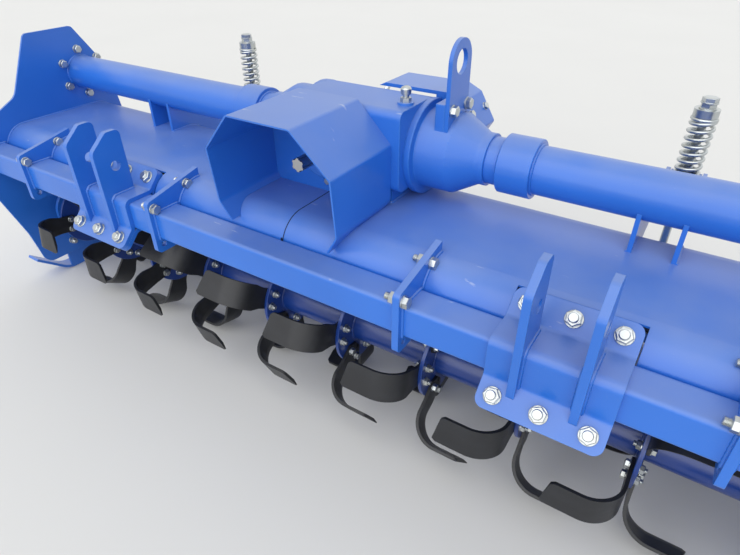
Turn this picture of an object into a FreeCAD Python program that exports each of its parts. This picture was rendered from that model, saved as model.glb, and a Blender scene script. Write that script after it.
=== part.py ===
import FreeCAD, Part

import math
import os

from FreeCAD import Vector

# Rotavator, millimetres: X to the right seen from the tractor's side, Y rearward, Z up.
# Heights are above the ground. Y is counted from the rotor's axis, and the finished
# machine is then centred over the origin.

# Rotor
rotor_height = 257.0  # rotor axis above the ground
tip_radius = 245.0
disc_count = 10
disc_pitch = 255.0
disc_radius = 118.0
disc_thickness = 10.0
disc_start_deg = -24.0  # the first disc's turn as it stands in the picture
disc_stagger_deg = 9.0  # turn from one disc to the next
rotor_tube_radius = 50.0
rotor_tube_wall = 8.0
rotor_facets = 24  # sides of the tube and the discs
rotor_flange_radius = 85.0
rotor_flange_thickness = 14.0
rotor_side_gap = 24.0  # end flange to the side plate
stub_radius = 28.0

# Blades
blade_pairs = 3  # left-bent and right-bent blades on each disc
blade_thickness = 8.0
blade_width = 76.0
blade_root_width = 62.0
blade_reach = 150.0
blade_bend_radius = 72.0
blade_bend_flats = 4  # flats that the bend is forged in
blade_bolt_radius = 88.0  # middle of the two bolts, from the rotor axis
blade_root_length = 26.0
blade_root_chamfer = 18.0
blade_neck = 44.0  # above the bolts, where the strap starts to widen
blade_full = 82.0  # above the bolts, where it has its full width
blade_lean_deg = 16.0
blade_end_slant = 14.0

# Width and side plates
end_gap = 114.5  # last disc's centre to the side plate
side_thickness = 8.0
side_shaft_gap = 6.0
stub_seat = 30.0  # how far the stub shafts enter their bearings
end_reach = 72.0  # what stands outside each side plate

# Hood
deck_gap = 108.0  # from the blades' tips to the deck
deck_height = rotor_height + tip_radius + deck_gap
hood_thickness = 5.0
hood_bend_radius = 80.0
hood_rear_bend = 60.0
hood_seam_width = 2.0
hood_seam_depth = 3.0
deck_rear = 250.0
hood_end_y = 338.0
hood_end_z = deck_height - 105.0

# Front beam
beam_size = 80.0
beam_wall = 8.0
beam_corner = 10.0
beam_front = -232.0
beam_bottom = deck_height - 126.0
beam_rear = beam_front + beam_size
beam_top = beam_bottom + beam_size
hood_front_low = beam_bottom - 14.0

# Beam flange plates, in pairs where the beam's lengths are bolted together
flange_x = (384.0, 1000.0)
flange_thickness = 8.0
flange_front = beam_front - 15.0
flange_low = beam_bottom - 39.0
flange_shoulder = beam_top + 34.0
flange_step = beam_bottom - 10.0
flange_foot_y = beam_rear - 34.0
flange_top = deck_height + 26.0
flange_rear_low = deck_height - 60.0
flange_rear = -62.0
flange_corner = 14.0
flange_hole_y = beam_front + 9.0  # hole in the foot
flange_hole_z = beam_bottom - 17.0
flange_hole_radius = 8.0

# Lower-hitch brackets, clamped round the beam wherever the tractor needs them
hitch_x = {"right": 704.0, "left": -604.0}
clamp_width = 242.0
clamp_plate = 12.0
clamp_bend = 12.0
clamp_beam_bend = 8.0  # at the beam's top front edge
clamp_flange = 68.0  # along the diagonal, from the beam's edge
clamp_corner = 20.0
clamp_notch_gap = 3.0
ear_offset = 59.0  # ear's middle from the bracket's middle
ear_thickness = 16.0
ear_front = beam_front - 30.0
ear_top_front = beam_front + 22.0
ear_rear = beam_front + 64.0
ear_low = beam_bottom - 22.0
ear_knee = beam_top + 142.0
ear_top = beam_top + 185.0
ear_knee_radius = 24.0
ear_top_radius = 16.0
hitch_pin_y = beam_front + 27.0
hitch_pin_z = beam_top + 91.0
hitch_pin_hole = 14.5

# Gearbox casting, its trumpets along the axle, and the axle tubes
axle_y = 200.0
axle_z = deck_height + 120.0
gear_left = -110.0
gear_right = 206.0
gear_front = 62.0
gear_rear = 300.0
gear_rear_top = 222.0  # where the flat top ends
gear_low = deck_height + 38.0
gear_top = deck_height + 240.0
gear_rear_drop = 78.0  # of the sloping face behind the flat top
gear_corner = 20.0
gear_foot_front = 82.0
gear_foot_rear = 238.0
gear_foot_inset = 30.0
trumpet_flange_radius = 120.0
trumpet_flange_length = 16.0
trumpet_radius = 99.0
trumpet_straight = 98.0  # from the casting to where the trumpet narrows
trumpet_cone = 62.0
trumpet_neck = 20.0
trumpet_end_radius = 63.0
barrel_facets = 32  # sides of the trumpets and the axle tubes
axle_tube_radius = 57.0
collar_radius = 70.0
collar_gap = 33.0  # from the trumpet's end
collar_length = 80.0
breather_x = 181.0
breather_y = 131.0
breather_pad_radius = 20.0
breather_pad_height = 6.0

# Input shaft in its boss on the gearbox's front
input_z = deck_height + 116.0
input_boss_radius = 62.0
input_boss_front = 20.0
input_shaft_radius = 17.4
input_shaft_length = 88.0  # in front of the boss
input_shaft_seat = 34.0  # inside the boss
input_bore_end_gap = 3.0
input_seal_width = 9.0
input_seal_depth = 6.0
front_plate_thickness = 10.0
spline_count = 6
spline_width = 8.7
spline_depth = 3.0
spline_end_gap = 18.0  # from the end of the splines to the boss
bearing_gap = 0.1

# Guard over the gears behind the gearbox, a folded sheet open in front
guard_middle_x = 148.0
guard_half = 172.0
guard_lip_half = 153.0
guard_shoulder_half = 128.0
guard_top_half = 90.0
guard_top = gear_top + 9.0
guard_upper_shoulder = gear_top - 9.0
guard_shoulder = gear_top - 80.0
guard_lip_z = gear_top - 113.0
guard_front = 240.0
guard_rear = 360.0
guard_wall = 4.0
guard_bend = 4.0
guard_rest = 0.3  # clearance to the casting that it stands on

# Shield round the input shaft
shield_half = 184.0
shield_lip_half = 153.0
shield_top_half = 90.0
shield_lip_z = deck_height - 33.0
shield_foot_z = deck_height + 16.0
shield_shoulder_z = deck_height + 160.0
shield_top_z = deck_height + 256.0
shield_wall = 4.0
shield_foot_bend = 22.0
shield_bend = 8.0
shield_front_low = beam_rear - 12.0
shield_front_top = beam_rear - 38.0

# Lifting lug, bolted to a pad on the right trumpet
lug_x = 290.0
lug_y = 182.0
lug_thickness = 10.0
lug_radius = 50.0
lug_rise = 121.0  # hole's middle above the trumpet
lug_hole_radius = 28.0
lug_foot_half = 52.0
lug_foot_depth = 40.0  # below the trumpet's top, before it is cut to fit
lug_pad_length = 24.0
lug_pad_half = 52.0
lug_pad_rise = 34.0

# Drive case on the right side plate, from the axle down to the rotor
case_depth = 52.0
case_upper_radius = 112.0
case_lower_radius = 96.0
case_cover_lip = 10.0

# Rotor bearing on the left side plate
hub_flange_half = 84.0
hub_flange_corner = 34.0
hub_flange_depth = 16.0
hub_cap_radius = 62.0

# Side plates
side_front = -262.0
side_rear = 335.0
side_low = 70.0
side_top = axle_z + 158.0
side_outline = (  # y, z, corner radius
    (side_front, deck_height - 10.0, 30.0),
    (side_front, 430.0, 90.0),
    (-196.0, 214.0, 80.0),
    (-170.0, side_low, 40.0),
    (225.0, side_low, 40.0),
    (side_rear, 250.0, 90.0),
    (side_rear, 470.0, 60.0),
    (300.0, axle_z + 5.0, 40.0),
    (202.0, side_top, 18.0),
    (27.0, side_top, 18.0),
    (-70.0, axle_z - 30.0, 60.0),
    (-160.0, axle_z - 75.0, 40.0),
)

# Skids
skid_width = 62.0
skid_thickness = 10.0
skid_front = -205.0
skid_rear = 262.0
skid_nose_rise = 92.0
skid_nose_deg = 40.0
skid_nose_radius = 70.0
skid_case_gap = 6.0
skid_upright_height = rotor_height - case_lower_radius - skid_case_gap
skid_upright_front = 14.0  # behind the bend of the nose
skid_upright_rear = 10.0
skid_upright_slope = 60.0
skid_upright_corner = 20.0

# Levelling board and its hinge
hinge_y = hood_end_y + 18.0
hinge_z = hood_end_z - 17.0
hinge_pin_radius = 9.0
hinge_clearance = 0.1
hinge_pin_end = 6.0
hinge_lug_x = (0.0, 800.0, 1210.0)
hinge_lug_radius = 17.0
hinge_lug_thickness = 12.0
hinge_lug_length = 62.0  # along the hood's rear slope
board_half = 1238.0
knuckle_inset = 138.0  # outer knuckle's middle from the board's end
knuckle_x = (420.0, board_half - knuckle_inset)
knuckle_radius = 17.0
knuckle_length = 60.0
knuckle_tongue = 16.0  # thickness of the tongue that holds the board
board_thickness = 6.0
board_start = 24.0  # board's edge from the hinge
board_upper_length = 330.0
board_upper_deg = 52.0
board_lower_deg = 63.0
board_ground_gap = 6.0
board_bend_radius = 220.0
board_bar_height = 46.0
board_bar_thickness = 10.0
board_rib_inset = 118.0  # outer rib's middle from the board's end
board_rib_pitch = (board_half - board_rib_inset) / 2
board_rib_x = (0.0, board_rib_pitch, 2 * board_rib_pitch)
board_rib_thickness = 6.0
board_rib_height = 30.0

# Sprung rods between the board and the frame
rod_x = 783.0
rod_pin_rise = 242.0  # from the board's trailing edge, along its lower half
rod_pin_out = 40.0  # from the board's inner face
rod_radius = 11.0
rod_end_height = 26.0
rod_eye_radius = 24.0
rod_eye_width = 24.0
rod_eye_clearance = 5.0
rod_pin_radius = 8.0
rod_lug_gap = 3.0
rod_lug_thickness = 10.0
rod_lug_radius = 18.0
rod_lug_foot = 45.0  # half its length on the board
guide_z = deck_height + 5.0
guide_half_x = 38.0
guide_half_y = 26.0
guide_half_z = 20.0
guide_pin_radius = 10.0
guide_pin_end = 4.0
guide_side_gap = 2.0
slide_clearance = 0.1
arm_thickness = 10.0
arm_end_half = 26.0
arm_end_reach = 32.0  # past the guide's pin
arm_end_corner = 20.0
arm_front = 150.0
arm_upper_y = 300.0
arm_upper_drop = 20.0  # of the arm's upper edge below the axle
arm_neck = 60.0  # in front of the guide's pin
arm_neck_half = 32.0
arm_lower_y = 350.0
arm_lower_drop = 60.0  # of the arm's lower edge below the deck
arm_tie_front = 400.0
arm_tie_rear = 470.0
arm_tie_thickness = 12.0
spring_radius = 33.0
spring_wire = 10.0
spring_length = 158.0
spring_turns = 8
spring_facets = 12
cap_radius = 30.0
cap_height = 20.0

half_inside = disc_pitch * (disc_count - 1) / 2 + end_gap
half_outside = half_inside + side_thickness
half_overall = half_outside + end_reach
rotor_reach = half_inside - rotor_side_gap
trumpet_length = trumpet_straight + trumpet_cone + trumpet_neck
lug_hole_z = axle_z + trumpet_radius + lug_rise
spring_seat_z = guide_z + guide_half_z
cut_margin = 1.0  # how far a cutting tool stands past what it cuts


def place(axis, u, v, w=0.0):
    """A point from two coordinates across an axis and one along it."""
    if axis == "x":
        return Vector(w, u, v)
    if axis == "y":
        return Vector(u, w, v)
    return Vector(u, v, w)


def rounded_face(corners, axis, w=0.0):
    """A face bounded by straight edges, each corner (u, v, r) rounded by its radius."""
    edges = []
    turns = []
    count = len(corners)
    for i in range(count):
        u, v, r = corners[i]
        before = corners[i - 1]
        after = corners[(i + 1) % count]
        here = Vector(u, v, 0)
        back = (Vector(before[0], before[1], 0) - here).normalize()
        on = (Vector(after[0], after[1], 0) - here).normalize()
        angle = back.getAngle(on)
        if r <= 0 or angle > math.pi - 1e-6:
            turns.append((here, here, None))
            continue
        reach = r / math.tan(angle / 2)
        middle = (back + on).normalize()
        centre = here + middle * (r / math.sin(angle / 2))
        turns.append((here + back * reach, here + on * reach, centre - middle * r))
    for i in range(count):
        enter, leave, mid = turns[i]
        if mid is not None:
            points = [place(axis, p.x, p.y, w) for p in (enter, mid, leave)]
            edges.append(Part.Arc(*points).toShape())
        following = turns[(i + 1) % count][0]
        if (following - leave).Length > 1e-6:
            start = place(axis, leave.x, leave.y, w)
            end = place(axis, following.x, following.y, w)
            edges.append(Part.LineSegment(start, end).toShape())
    return Part.Face(Part.Wire(edges))


def prism(corners, axis, start, end):
    """A plate of the outline through corners, from start to end along the axis."""
    corners = [c if len(c) == 3 else (c[0], c[1], 0.0) for c in corners]
    face = rounded_face(corners, axis, start)
    return face.extrude(place(axis, 0, 0, end - start))


def folded_sheet(path, thickness, axis, start, end):
    """A sheet bent along path (u, v, inside radius), thickened to the path's left."""
    near = []
    far = []
    for i, (u, v, r) in enumerate(path):
        before = path[max(i - 1, 0)]
        after = path[min(i + 1, len(path) - 1)]
        near_side = Vector(u - before[0], v - before[1], 0)
        far_side = Vector(after[0] - u, after[1] - v, 0)
        if i == 0:
            near_side = far_side
        if i == len(path) - 1:
            far_side = near_side
        near_side.normalize()
        far_side.normalize()
        turn = near_side.x * far_side.y - near_side.y * far_side.x
        miter = Vector(-near_side.y - far_side.y, near_side.x + far_side.x, 0)
        miter = miter * (2 * thickness / miter.Length**2)
        inside = r
        outside = r + abs(thickness) if r else 0.0
        left_turn = turn * thickness > 0
        near.append((u, v, outside if left_turn else inside))
        far.append((u + miter.x, v + miter.y, inside if left_turn else outside))
    return prism(near + far[::-1], axis, start, end)


def cylinder(radius, axis, u, v, start, end):
    """A round bar along an axis, at (u, v) across it."""
    direction = place(axis, 0, 0, 1)
    return Part.makeCylinder(radius, end - start, place(axis, u, v, start), direction)


def turned(profile, axis, u, v):
    """A piece turned from its profile (distance along the axis, radius)."""
    corners = [c if len(c) == 3 else (c[0], c[1], 0.0) for c in profile]
    face = rounded_face(corners, "z")
    solid = face.revolve(Vector(0, 0, 0), Vector(1, 0, 0), 360)
    if axis == "y":
        solid.rotate(Vector(0, 0, 0), Vector(0, 0, 1), 90)
    if axis == "z":
        solid.rotate(Vector(0, 0, 0), Vector(0, 1, 0), -90)
    solid.translate(place(axis, u, v))
    return solid


def with_mirror(right):
    """A path's right half and its mirror image, from lip to lip."""
    return right + tuple((-u, v, r) for u, v, r in reversed(right))


def faceted(profile, sides, axis, u, v):
    """A piece of flat facets round an axis, from its profile (distance along it, radius)."""
    rings = []
    for w, radius in profile:
        steps = [2 * math.pi * i / sides for i in range(sides + 1)]
        ring_points = [
            place(axis, u + radius * math.cos(a), v + radius * math.sin(a), w) for a in steps
        ]
        rings.append(ring_points)
    faces = []
    for near, far in zip(rings, rings[1:]):
        for i in range(sides):
            corners = (near[i], near[i + 1], far[i + 1], far[i], near[i])
            faces.append(Part.Face(Part.makePolygon(corners)))
    if profile[0] != profile[-1]:
        faces += [Part.Face(Part.makePolygon(end)) for end in (rings[0], rings[-1])]
    solid = Part.Solid(Part.makeShell(faces))
    if solid.Volume < 0:
        solid.reverse()
    return solid


def block(x0, x1, y0, y1, z0, z1):
    return Part.makeBox(x1 - x0, y1 - y0, z1 - z0, Vector(x0, y0, z0))


def mirrored(shape):
    """The same piece on the other side of the machine's middle."""
    return shape.mirror(Vector(0, 0, 0), Vector(1, 0, 0))


def fused(shapes):
    """One solid from pieces that overlap or share faces."""
    return shapes[0].multiFuse(shapes[1:]).removeSplitter()


def group(shapes):
    """Like pieces that don't touch, kept together."""
    solids = []
    for shape in shapes:
        solids.extend(shape.Solids)
    return Part.makeCompound(solids)


def pair(shape):
    """A piece and its mirror image."""
    return group([shape, mirrored(shape)])


def both_sides(make, places):
    """What make(x) gives at each place, and its mirror image where x isn't 0."""
    shapes = []
    for x in places:
        shape = make(x)
        shapes.append(shape)
        if x > 0:
            shapes.append(mirrored(shape))
    return group(shapes)


def biggest(shape):
    """The largest solid of a cut piece."""
    return max(shape.Solids, key=lambda solid: solid.Volume)


# Frame


def hood_path():
    """The hood's upper face, from its rear edge forward, with inside bend radii."""
    return (
        (hood_end_y, hood_end_z, 0.0),
        (deck_rear, deck_height, hood_rear_bend - hood_thickness),
        (beam_rear, deck_height, hood_bend_radius - hood_thickness),
        (beam_rear, hood_front_low, 0.0),
    )


def hood_space():
    """All that lies under the hood's upper face."""
    path = [(y, z, r + hood_thickness if r else 0.0) for y, z, r in hood_path()]
    return prism(path, "x", -half_inside, half_inside)


def hood():
    """The hood with its seam and its cut-outs for the clamps."""
    sheet = folded_sheet(hood_path(), hood_thickness, "x", -half_inside, half_inside)
    half = hood_seam_width / 2
    seam = block(-half, half, beam_rear, deck_rear, hood_front_low, deck_height)
    below = [(y - hood_seam_depth, z - hood_seam_depth, r) for y, z, r in hood_path()]
    sheet = sheet.cut(seam.cut(prism(below, "x", -half, half)))
    half = clamp_width / 2 + clamp_notch_gap
    reach = (clamp_flange + clamp_plate) / math.sqrt(2) + clamp_notch_gap
    for x in hitch_x.values():
        notch = block(
            x - half,
            x + half,
            beam_rear - cut_margin,
            beam_rear + reach,
            hood_front_low - cut_margin,
            deck_height + cut_margin,
        )
        sheet = sheet.cut(notch)
    return sheet


def beam_section(inset, corner):
    """The beam's square outline, drawn in by inset."""
    low = Vector(beam_front + inset, beam_bottom + inset)
    high = Vector(beam_rear - inset, beam_top - inset)
    return (
        (low.x, low.y, corner),
        (high.x, low.y, corner),
        (high.x, high.y, corner),
        (low.x, high.y, corner),
    )


def front_beam():
    """The beam's lengths between the flange plates and the side plates."""
    near, far = flange_x
    spans = (
        (-near + flange_thickness, near - flange_thickness),
        (near + flange_thickness, far - flange_thickness),
        (far + flange_thickness, half_inside),
    )
    lengths = []
    for start, end in spans:
        bar = prism(beam_section(0.0, beam_corner), "x", start, end)
        tube = bar.cut(prism(beam_section(beam_wall, 0.0), "x", start, end))
        lengths.append(tube)
        if start > 0:
            lengths.append(mirrored(tube))
    return group(lengths)


def beam_flange(x):
    """Two plates bolted together between the beam's lengths, down to the hood."""
    outline = (
        (flange_front, flange_low, flange_corner),
        (flange_front, flange_shoulder, flange_corner),
        (flange_rear, flange_top, 0.0),
        (flange_rear, flange_rear_low, 0.0),
        (beam_rear, flange_step, 0.0),
        (flange_foot_y, flange_low, flange_corner),
    )
    start = x - flange_thickness
    end = x + flange_thickness
    plate = prism(outline, "x", start, end).cut(hood_space())
    return plate.cut(
        cylinder(flange_hole_radius, "x", flange_hole_y, flange_hole_z, start, end)
    )


def beam_flanges():
    return both_sides(beam_flange, flange_x)


def clamp_corners():
    """The clamp's inner face along the beam's front and top, flanges on the diagonal."""
    reach = clamp_flange / math.sqrt(2)
    return (
        (beam_front - reach, beam_bottom - reach, 0.0),
        (beam_front, beam_bottom, clamp_bend),
        (beam_front, beam_top, clamp_beam_bend),
        (beam_rear, beam_top, clamp_bend),
        (beam_rear + reach, beam_top + reach, 0.0),
    )


def clamp_outline(x):
    """All that lies within a clamp's outline, seen square to its flanges."""
    half = clamp_width / 2
    reach = beam_size / math.sqrt(2) + clamp_flange
    outline = (
        (x - half, -reach, clamp_corner),
        (x + half, -reach, clamp_corner),
        (x + half, reach, clamp_corner),
        (x - half, reach, clamp_corner),
    )
    space = prism(outline, "y", -reach, reach)
    space.rotate(Vector(0, 0, 0), Vector(1, 0, 0), -45)
    middle = beam_size / 2
    space.translate(Vector(0, beam_front + middle, beam_bottom + middle))
    return space


def clamp_half(path, x):
    """A folded half of the clamp round x, with rounded corners."""
    half = clamp_width / 2
    sheet = folded_sheet(path, clamp_plate, "x", x - half, x + half)
    return sheet.common(clamp_outline(x))


def clamp_front(x):
    """Front and top half of the hitch clamp round x."""
    return clamp_half(clamp_corners(), x)


def clamp_rear(x):
    """Rear and lower half, the front half's image across the beam's diagonal."""
    path = [
        (z - beam_bottom + beam_front, y - beam_front + beam_bottom, r)
        for y, z, r in clamp_corners()
    ]
    return clamp_half(path[::-1], x)


def clamp_space(start, end):
    """The clamp's front half and everything behind it."""
    sheet = folded_sheet(clamp_corners(), clamp_plate, "x", start, end)
    corner = (beam_rear + ear_top, beam_bottom - ear_top, 0.0)
    behind = prism(clamp_corners() + (corner,), "x", start, end)
    return fused([sheet, behind])


def hitch_ear(x):
    """An ear welded on a clamp's front half, with the lower link's pin hole."""
    outline = (
        (ear_front, ear_low, 0.0),
        (ear_front, ear_knee, ear_knee_radius),
        (ear_top_front, ear_top, ear_top_radius),
        (ear_rear, ear_top, ear_top_radius),
        (ear_rear, beam_top, 0.0),
        (beam_rear, beam_bottom, 0.0),
    )
    start = x - ear_thickness / 2
    end = x + ear_thickness / 2
    plate = prism(outline, "x", start, end).cut(clamp_space(start, end))
    hole = cylinder(hitch_pin_hole, "x", hitch_pin_y, hitch_pin_z, start, end)
    return biggest(plate.cut(hole))


def hitch_ears(x):
    return group([hitch_ear(x - ear_offset), hitch_ear(x + ear_offset)])


def side_plate():
    """The right side plate, with the rotor shaft's opening."""
    plate = prism(side_outline, "x", half_inside, half_outside)
    radius = stub_radius + side_shaft_gap
    return plate.cut(cylinder(radius, "x", 0, rotor_height, half_inside, half_outside))


def skid():
    """The right skid: an upright on the side plate and a sole with a raised nose."""
    nose = skid_nose_rise / math.tan(math.radians(skid_nose_deg))
    bend = skid_front + nose
    sole_path = (
        (skid_rear, 0.0, 0.0),
        (bend, 0.0, skid_nose_radius),
        (skid_front, skid_nose_rise, 0.0),
    )
    sole = folded_sheet(
        sole_path, -skid_thickness, "x", half_outside, half_outside + skid_width
    )
    upright_outline = (
        (bend + skid_upright_front, skid_thickness, 0.0),
        (skid_rear - skid_upright_rear, skid_thickness, 0.0),
        (skid_rear - skid_upright_slope, skid_upright_height, skid_upright_corner),
        (bend + skid_upright_front, skid_upright_height, skid_upright_corner),
    )
    upright = prism(upright_outline, "x", half_outside, half_outside + skid_thickness)
    return fused([sole, upright])


# Drive line


def trumpet(start):
    """The right trumpet, from the casting's side at start to the axle tube."""
    cone_start = start + trumpet_straight
    profile = (
        (start, trumpet_flange_radius),
        (start + trumpet_flange_length, trumpet_flange_radius),
        (start + trumpet_flange_length, trumpet_radius),
        (cone_start, trumpet_radius),
        (cone_start + trumpet_cone, trumpet_end_radius),
        (start + trumpet_length, trumpet_end_radius),
    )
    return faceted(profile, barrel_facets, "x", axle_y, axle_z)


def trumpets():
    """Both trumpets, as long as each other on either side of the casting."""
    return trumpet(gear_right), mirrored(trumpet(-gear_left))


def gearbox_housing():
    """Gear casting with its trumpets, foot, input boss and the lug's pad."""
    outline = (
        (gear_front, gear_low, gear_corner),
        (gear_rear, gear_low, gear_corner),
        (gear_rear, gear_top - gear_rear_drop, gear_corner),
        (gear_rear_top, gear_top, gear_corner),
        (gear_front, gear_top, gear_corner),
    )
    body = prism(outline, "x", gear_left, gear_right)
    foot = block(
        gear_left + gear_foot_inset,
        gear_right - gear_foot_inset,
        gear_foot_front,
        gear_foot_rear,
        deck_height,
        axle_z,
    )
    boss = cylinder(input_boss_radius, "y", 0, input_z, input_boss_front, gear_foot_front)
    pad_top = axle_z + trumpet_radius + lug_pad_rise
    pad_end = lug_x - lug_thickness / 2
    pad = block(
        pad_end - lug_pad_length,
        pad_end,
        lug_y - lug_pad_half,
        lug_y + lug_pad_half,
        axle_z,
        pad_top,
    )
    breather_pad = cylinder(
        breather_pad_radius,
        "z",
        breather_x,
        breather_y,
        gear_top,
        gear_top + breather_pad_height,
    )
    whole = fused([body, foot, boss, pad, breather_pad, *trumpets()])
    bore_end = input_boss_front + input_shaft_seat + input_bore_end_gap
    bore = cylinder(
        input_shaft_radius + bearing_gap, "y", 0, input_z, input_boss_front, bore_end
    )
    seal_radius = input_shaft_radius + input_seal_width
    seal_end = input_boss_front + input_seal_depth
    seal = cylinder(seal_radius, "y", 0, input_z, input_boss_front, seal_end)
    return whole.cut(bore).cut(seal)


def gearbox_guard():
    """Guard over the change gears, which stands on the casting."""
    right = (
        (guard_lip_half, guard_lip_z, 0.0),
        (guard_half, guard_shoulder, guard_bend),
        (guard_shoulder_half, guard_upper_shoulder, guard_bend),
        (guard_top_half, guard_top, guard_bend),
    )
    path = [(guard_middle_x + x, z, r) for x, z, r in with_mirror(right)]
    sheet = folded_sheet(path, guard_wall, "y", guard_front, guard_rear)
    front = prism(path, "y", guard_front, guard_front + guard_wall)
    guard = fused([sheet, front])
    body = block(
        gear_left, gear_right, gear_front, guard_rear + cut_margin, gear_low, gear_top
    )
    for radius, length in (
        (trumpet_radius, trumpet_length),
        (trumpet_flange_radius, trumpet_flange_length + guard_rest),
    ):
        end = gear_right + length
        barrel = cylinder(radius + guard_rest, "x", axle_y, axle_z, gear_right, end)
        guard = guard.cut(barrel)
    return biggest(guard.cut(body))


def shield_path():
    """The shield's outer face seen from the front, from its right lip to its left."""
    right = (
        (shield_lip_half, shield_lip_z, 0.0),
        (shield_half, shield_foot_z, shield_foot_bend),
        (shield_half, shield_shoulder_z, shield_bend),
        (shield_top_half, shield_top_z, shield_bend),
    )
    return with_mirror(right)


def shield():
    """Folded shield round the input shaft, open in front and below."""
    sheet = folded_sheet(shield_path(), shield_wall, "y", shield_front_top, gear_front)
    slope = (
        (shield_front_top, shield_lip_z),
        (shield_front_low, shield_lip_z),
        (shield_front_top, shield_top_z),
    )
    nose = prism(slope, "x", -shield_half, shield_half)
    return sheet.cut(nose).cut(hood_space())


def front_plate():
    """The gearbox's front plate, which closes the shield's rear."""
    start = gear_front - front_plate_thickness
    plate = prism(shield_path(), "y", start, gear_front)
    plate = biggest(plate.cut(shield()).cut(hood_space()))
    return plate.cut(cylinder(input_boss_radius, "y", 0, input_z, start, gear_front))


def axle_tube(start):
    """An axle tube from its trumpet's end at start to the right side plate."""
    collar = start + collar_gap
    profile = (
        (start, axle_tube_radius),
        (collar, axle_tube_radius),
        (collar, collar_radius),
        (collar + collar_length, collar_radius),
        (collar + collar_length, axle_tube_radius),
        (half_inside, axle_tube_radius),
    )
    return faceted(profile, barrel_facets, "x", axle_y, axle_z)


def drive_case():
    """Case on the right side plate that takes the drive down to the rotor."""
    end = half_outside + case_depth
    case = case_outline(case_upper_radius, case_lower_radius, half_outside, end)
    return case.cut(stub_bore())


def stub_bore():
    """The running bore for the rotor's right stub shaft."""
    end = half_outside + stub_seat + side_shaft_gap
    return cylinder(stub_radius + bearing_gap, "x", 0, rotor_height, half_outside, end)


def drive_cover():
    """Cover plate of the side drive."""
    upper = case_upper_radius + case_cover_lip
    lower = case_lower_radius + case_cover_lip
    return case_outline(upper, lower, half_outside + case_depth, half_overall)


def case_outline(upper, lower, start, end):
    """A long case round the axle above and the rotor's shaft below."""
    top = Vector(axle_y, axle_z, 0)
    low = Vector(0, rotor_height, 0)
    length = (low - top).Length
    along = (low - top) * (1 / length)
    lean = math.asin((upper - lower) / length)
    across = Vector(-along.y, along.x, 0)
    sides = []
    for sign in (1, -1):
        normal = across * (sign * math.cos(lean)) + along * math.sin(lean)
        sides.append((top + normal * upper, low + normal * lower))
    (a, b), (d, c) = sides
    return fused(
        [
            cylinder(upper, "x", top.x, top.y, start, end),
            cylinder(lower, "x", low.x, low.y, start, end),
            prism([(p.x, p.y) for p in (a, b, c, d)], "x", start, end),
        ]
    )


def bearing_hub():
    """Rotor bearing on the left side plate: square flange and round cap."""
    half = hub_flange_half
    outline = (
        (-half, rotor_height - half, hub_flange_corner),
        (half, rotor_height - half, hub_flange_corner),
        (half, rotor_height + half, hub_flange_corner),
        (-half, rotor_height + half, hub_flange_corner),
    )
    flange = prism(outline, "x", half_outside, half_outside + hub_flange_depth)
    cap = cylinder(hub_cap_radius, "x", 0, rotor_height, half_outside, half_overall)
    return mirrored(fused([flange, cap]).cut(stub_bore()))


def lifting_lug():
    """Plate on the trumpet's pad with a hole for a hook or a stay."""
    start = lug_x - lug_thickness / 2
    end = lug_x + lug_thickness / 2
    low = axle_z + trumpet_radius - lug_foot_depth
    outline = (
        (lug_y - lug_foot_half, low),
        (lug_y + lug_foot_half, low),
        (lug_y + lug_radius, lug_hole_z),
        (lug_y - lug_radius, lug_hole_z),
    )
    head = cylinder(lug_radius, "x", lug_y, lug_hole_z, start, end)
    plate = fused([prism(outline, "x", start, end), head])
    plate = plate.cut(cylinder(trumpet_radius, "x", axle_y, axle_z, start, end))
    return plate.cut(cylinder(lug_hole_radius, "x", lug_y, lug_hole_z, start, end))


# Rotor


def rotor_stubs():
    """End flanges of the rotor with the stub shafts that run in the bearings."""
    inner = rotor_reach - rotor_flange_thickness
    end = half_outside + stub_seat
    profile = (
        (inner, 0.0),
        (inner, rotor_flange_radius),
        (rotor_reach, rotor_flange_radius),
        (rotor_reach, stub_radius),
        (end, stub_radius),
        (end, 0.0),
    )
    return pair(turned(profile, "x", 0, rotor_height))


def disc_places():
    """Each blade disc's x and its turn about the rotor's axis."""
    first = -disc_pitch * (disc_count - 1) / 2
    return [
        (first + i * disc_pitch, disc_start_deg + i * disc_stagger_deg)
        for i in range(disc_count)
    ]


def blade_height():
    """The bent end's height over the bolts, so that its leading corner runs at the tip."""
    lean = math.radians(blade_lean_deg)
    half = blade_width / 2
    across = half * math.cos(lean)
    along = math.sqrt(tip_radius**2 - across**2) - half * math.sin(lean)
    return (along - blade_bolt_radius) / math.cos(lean)


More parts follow.
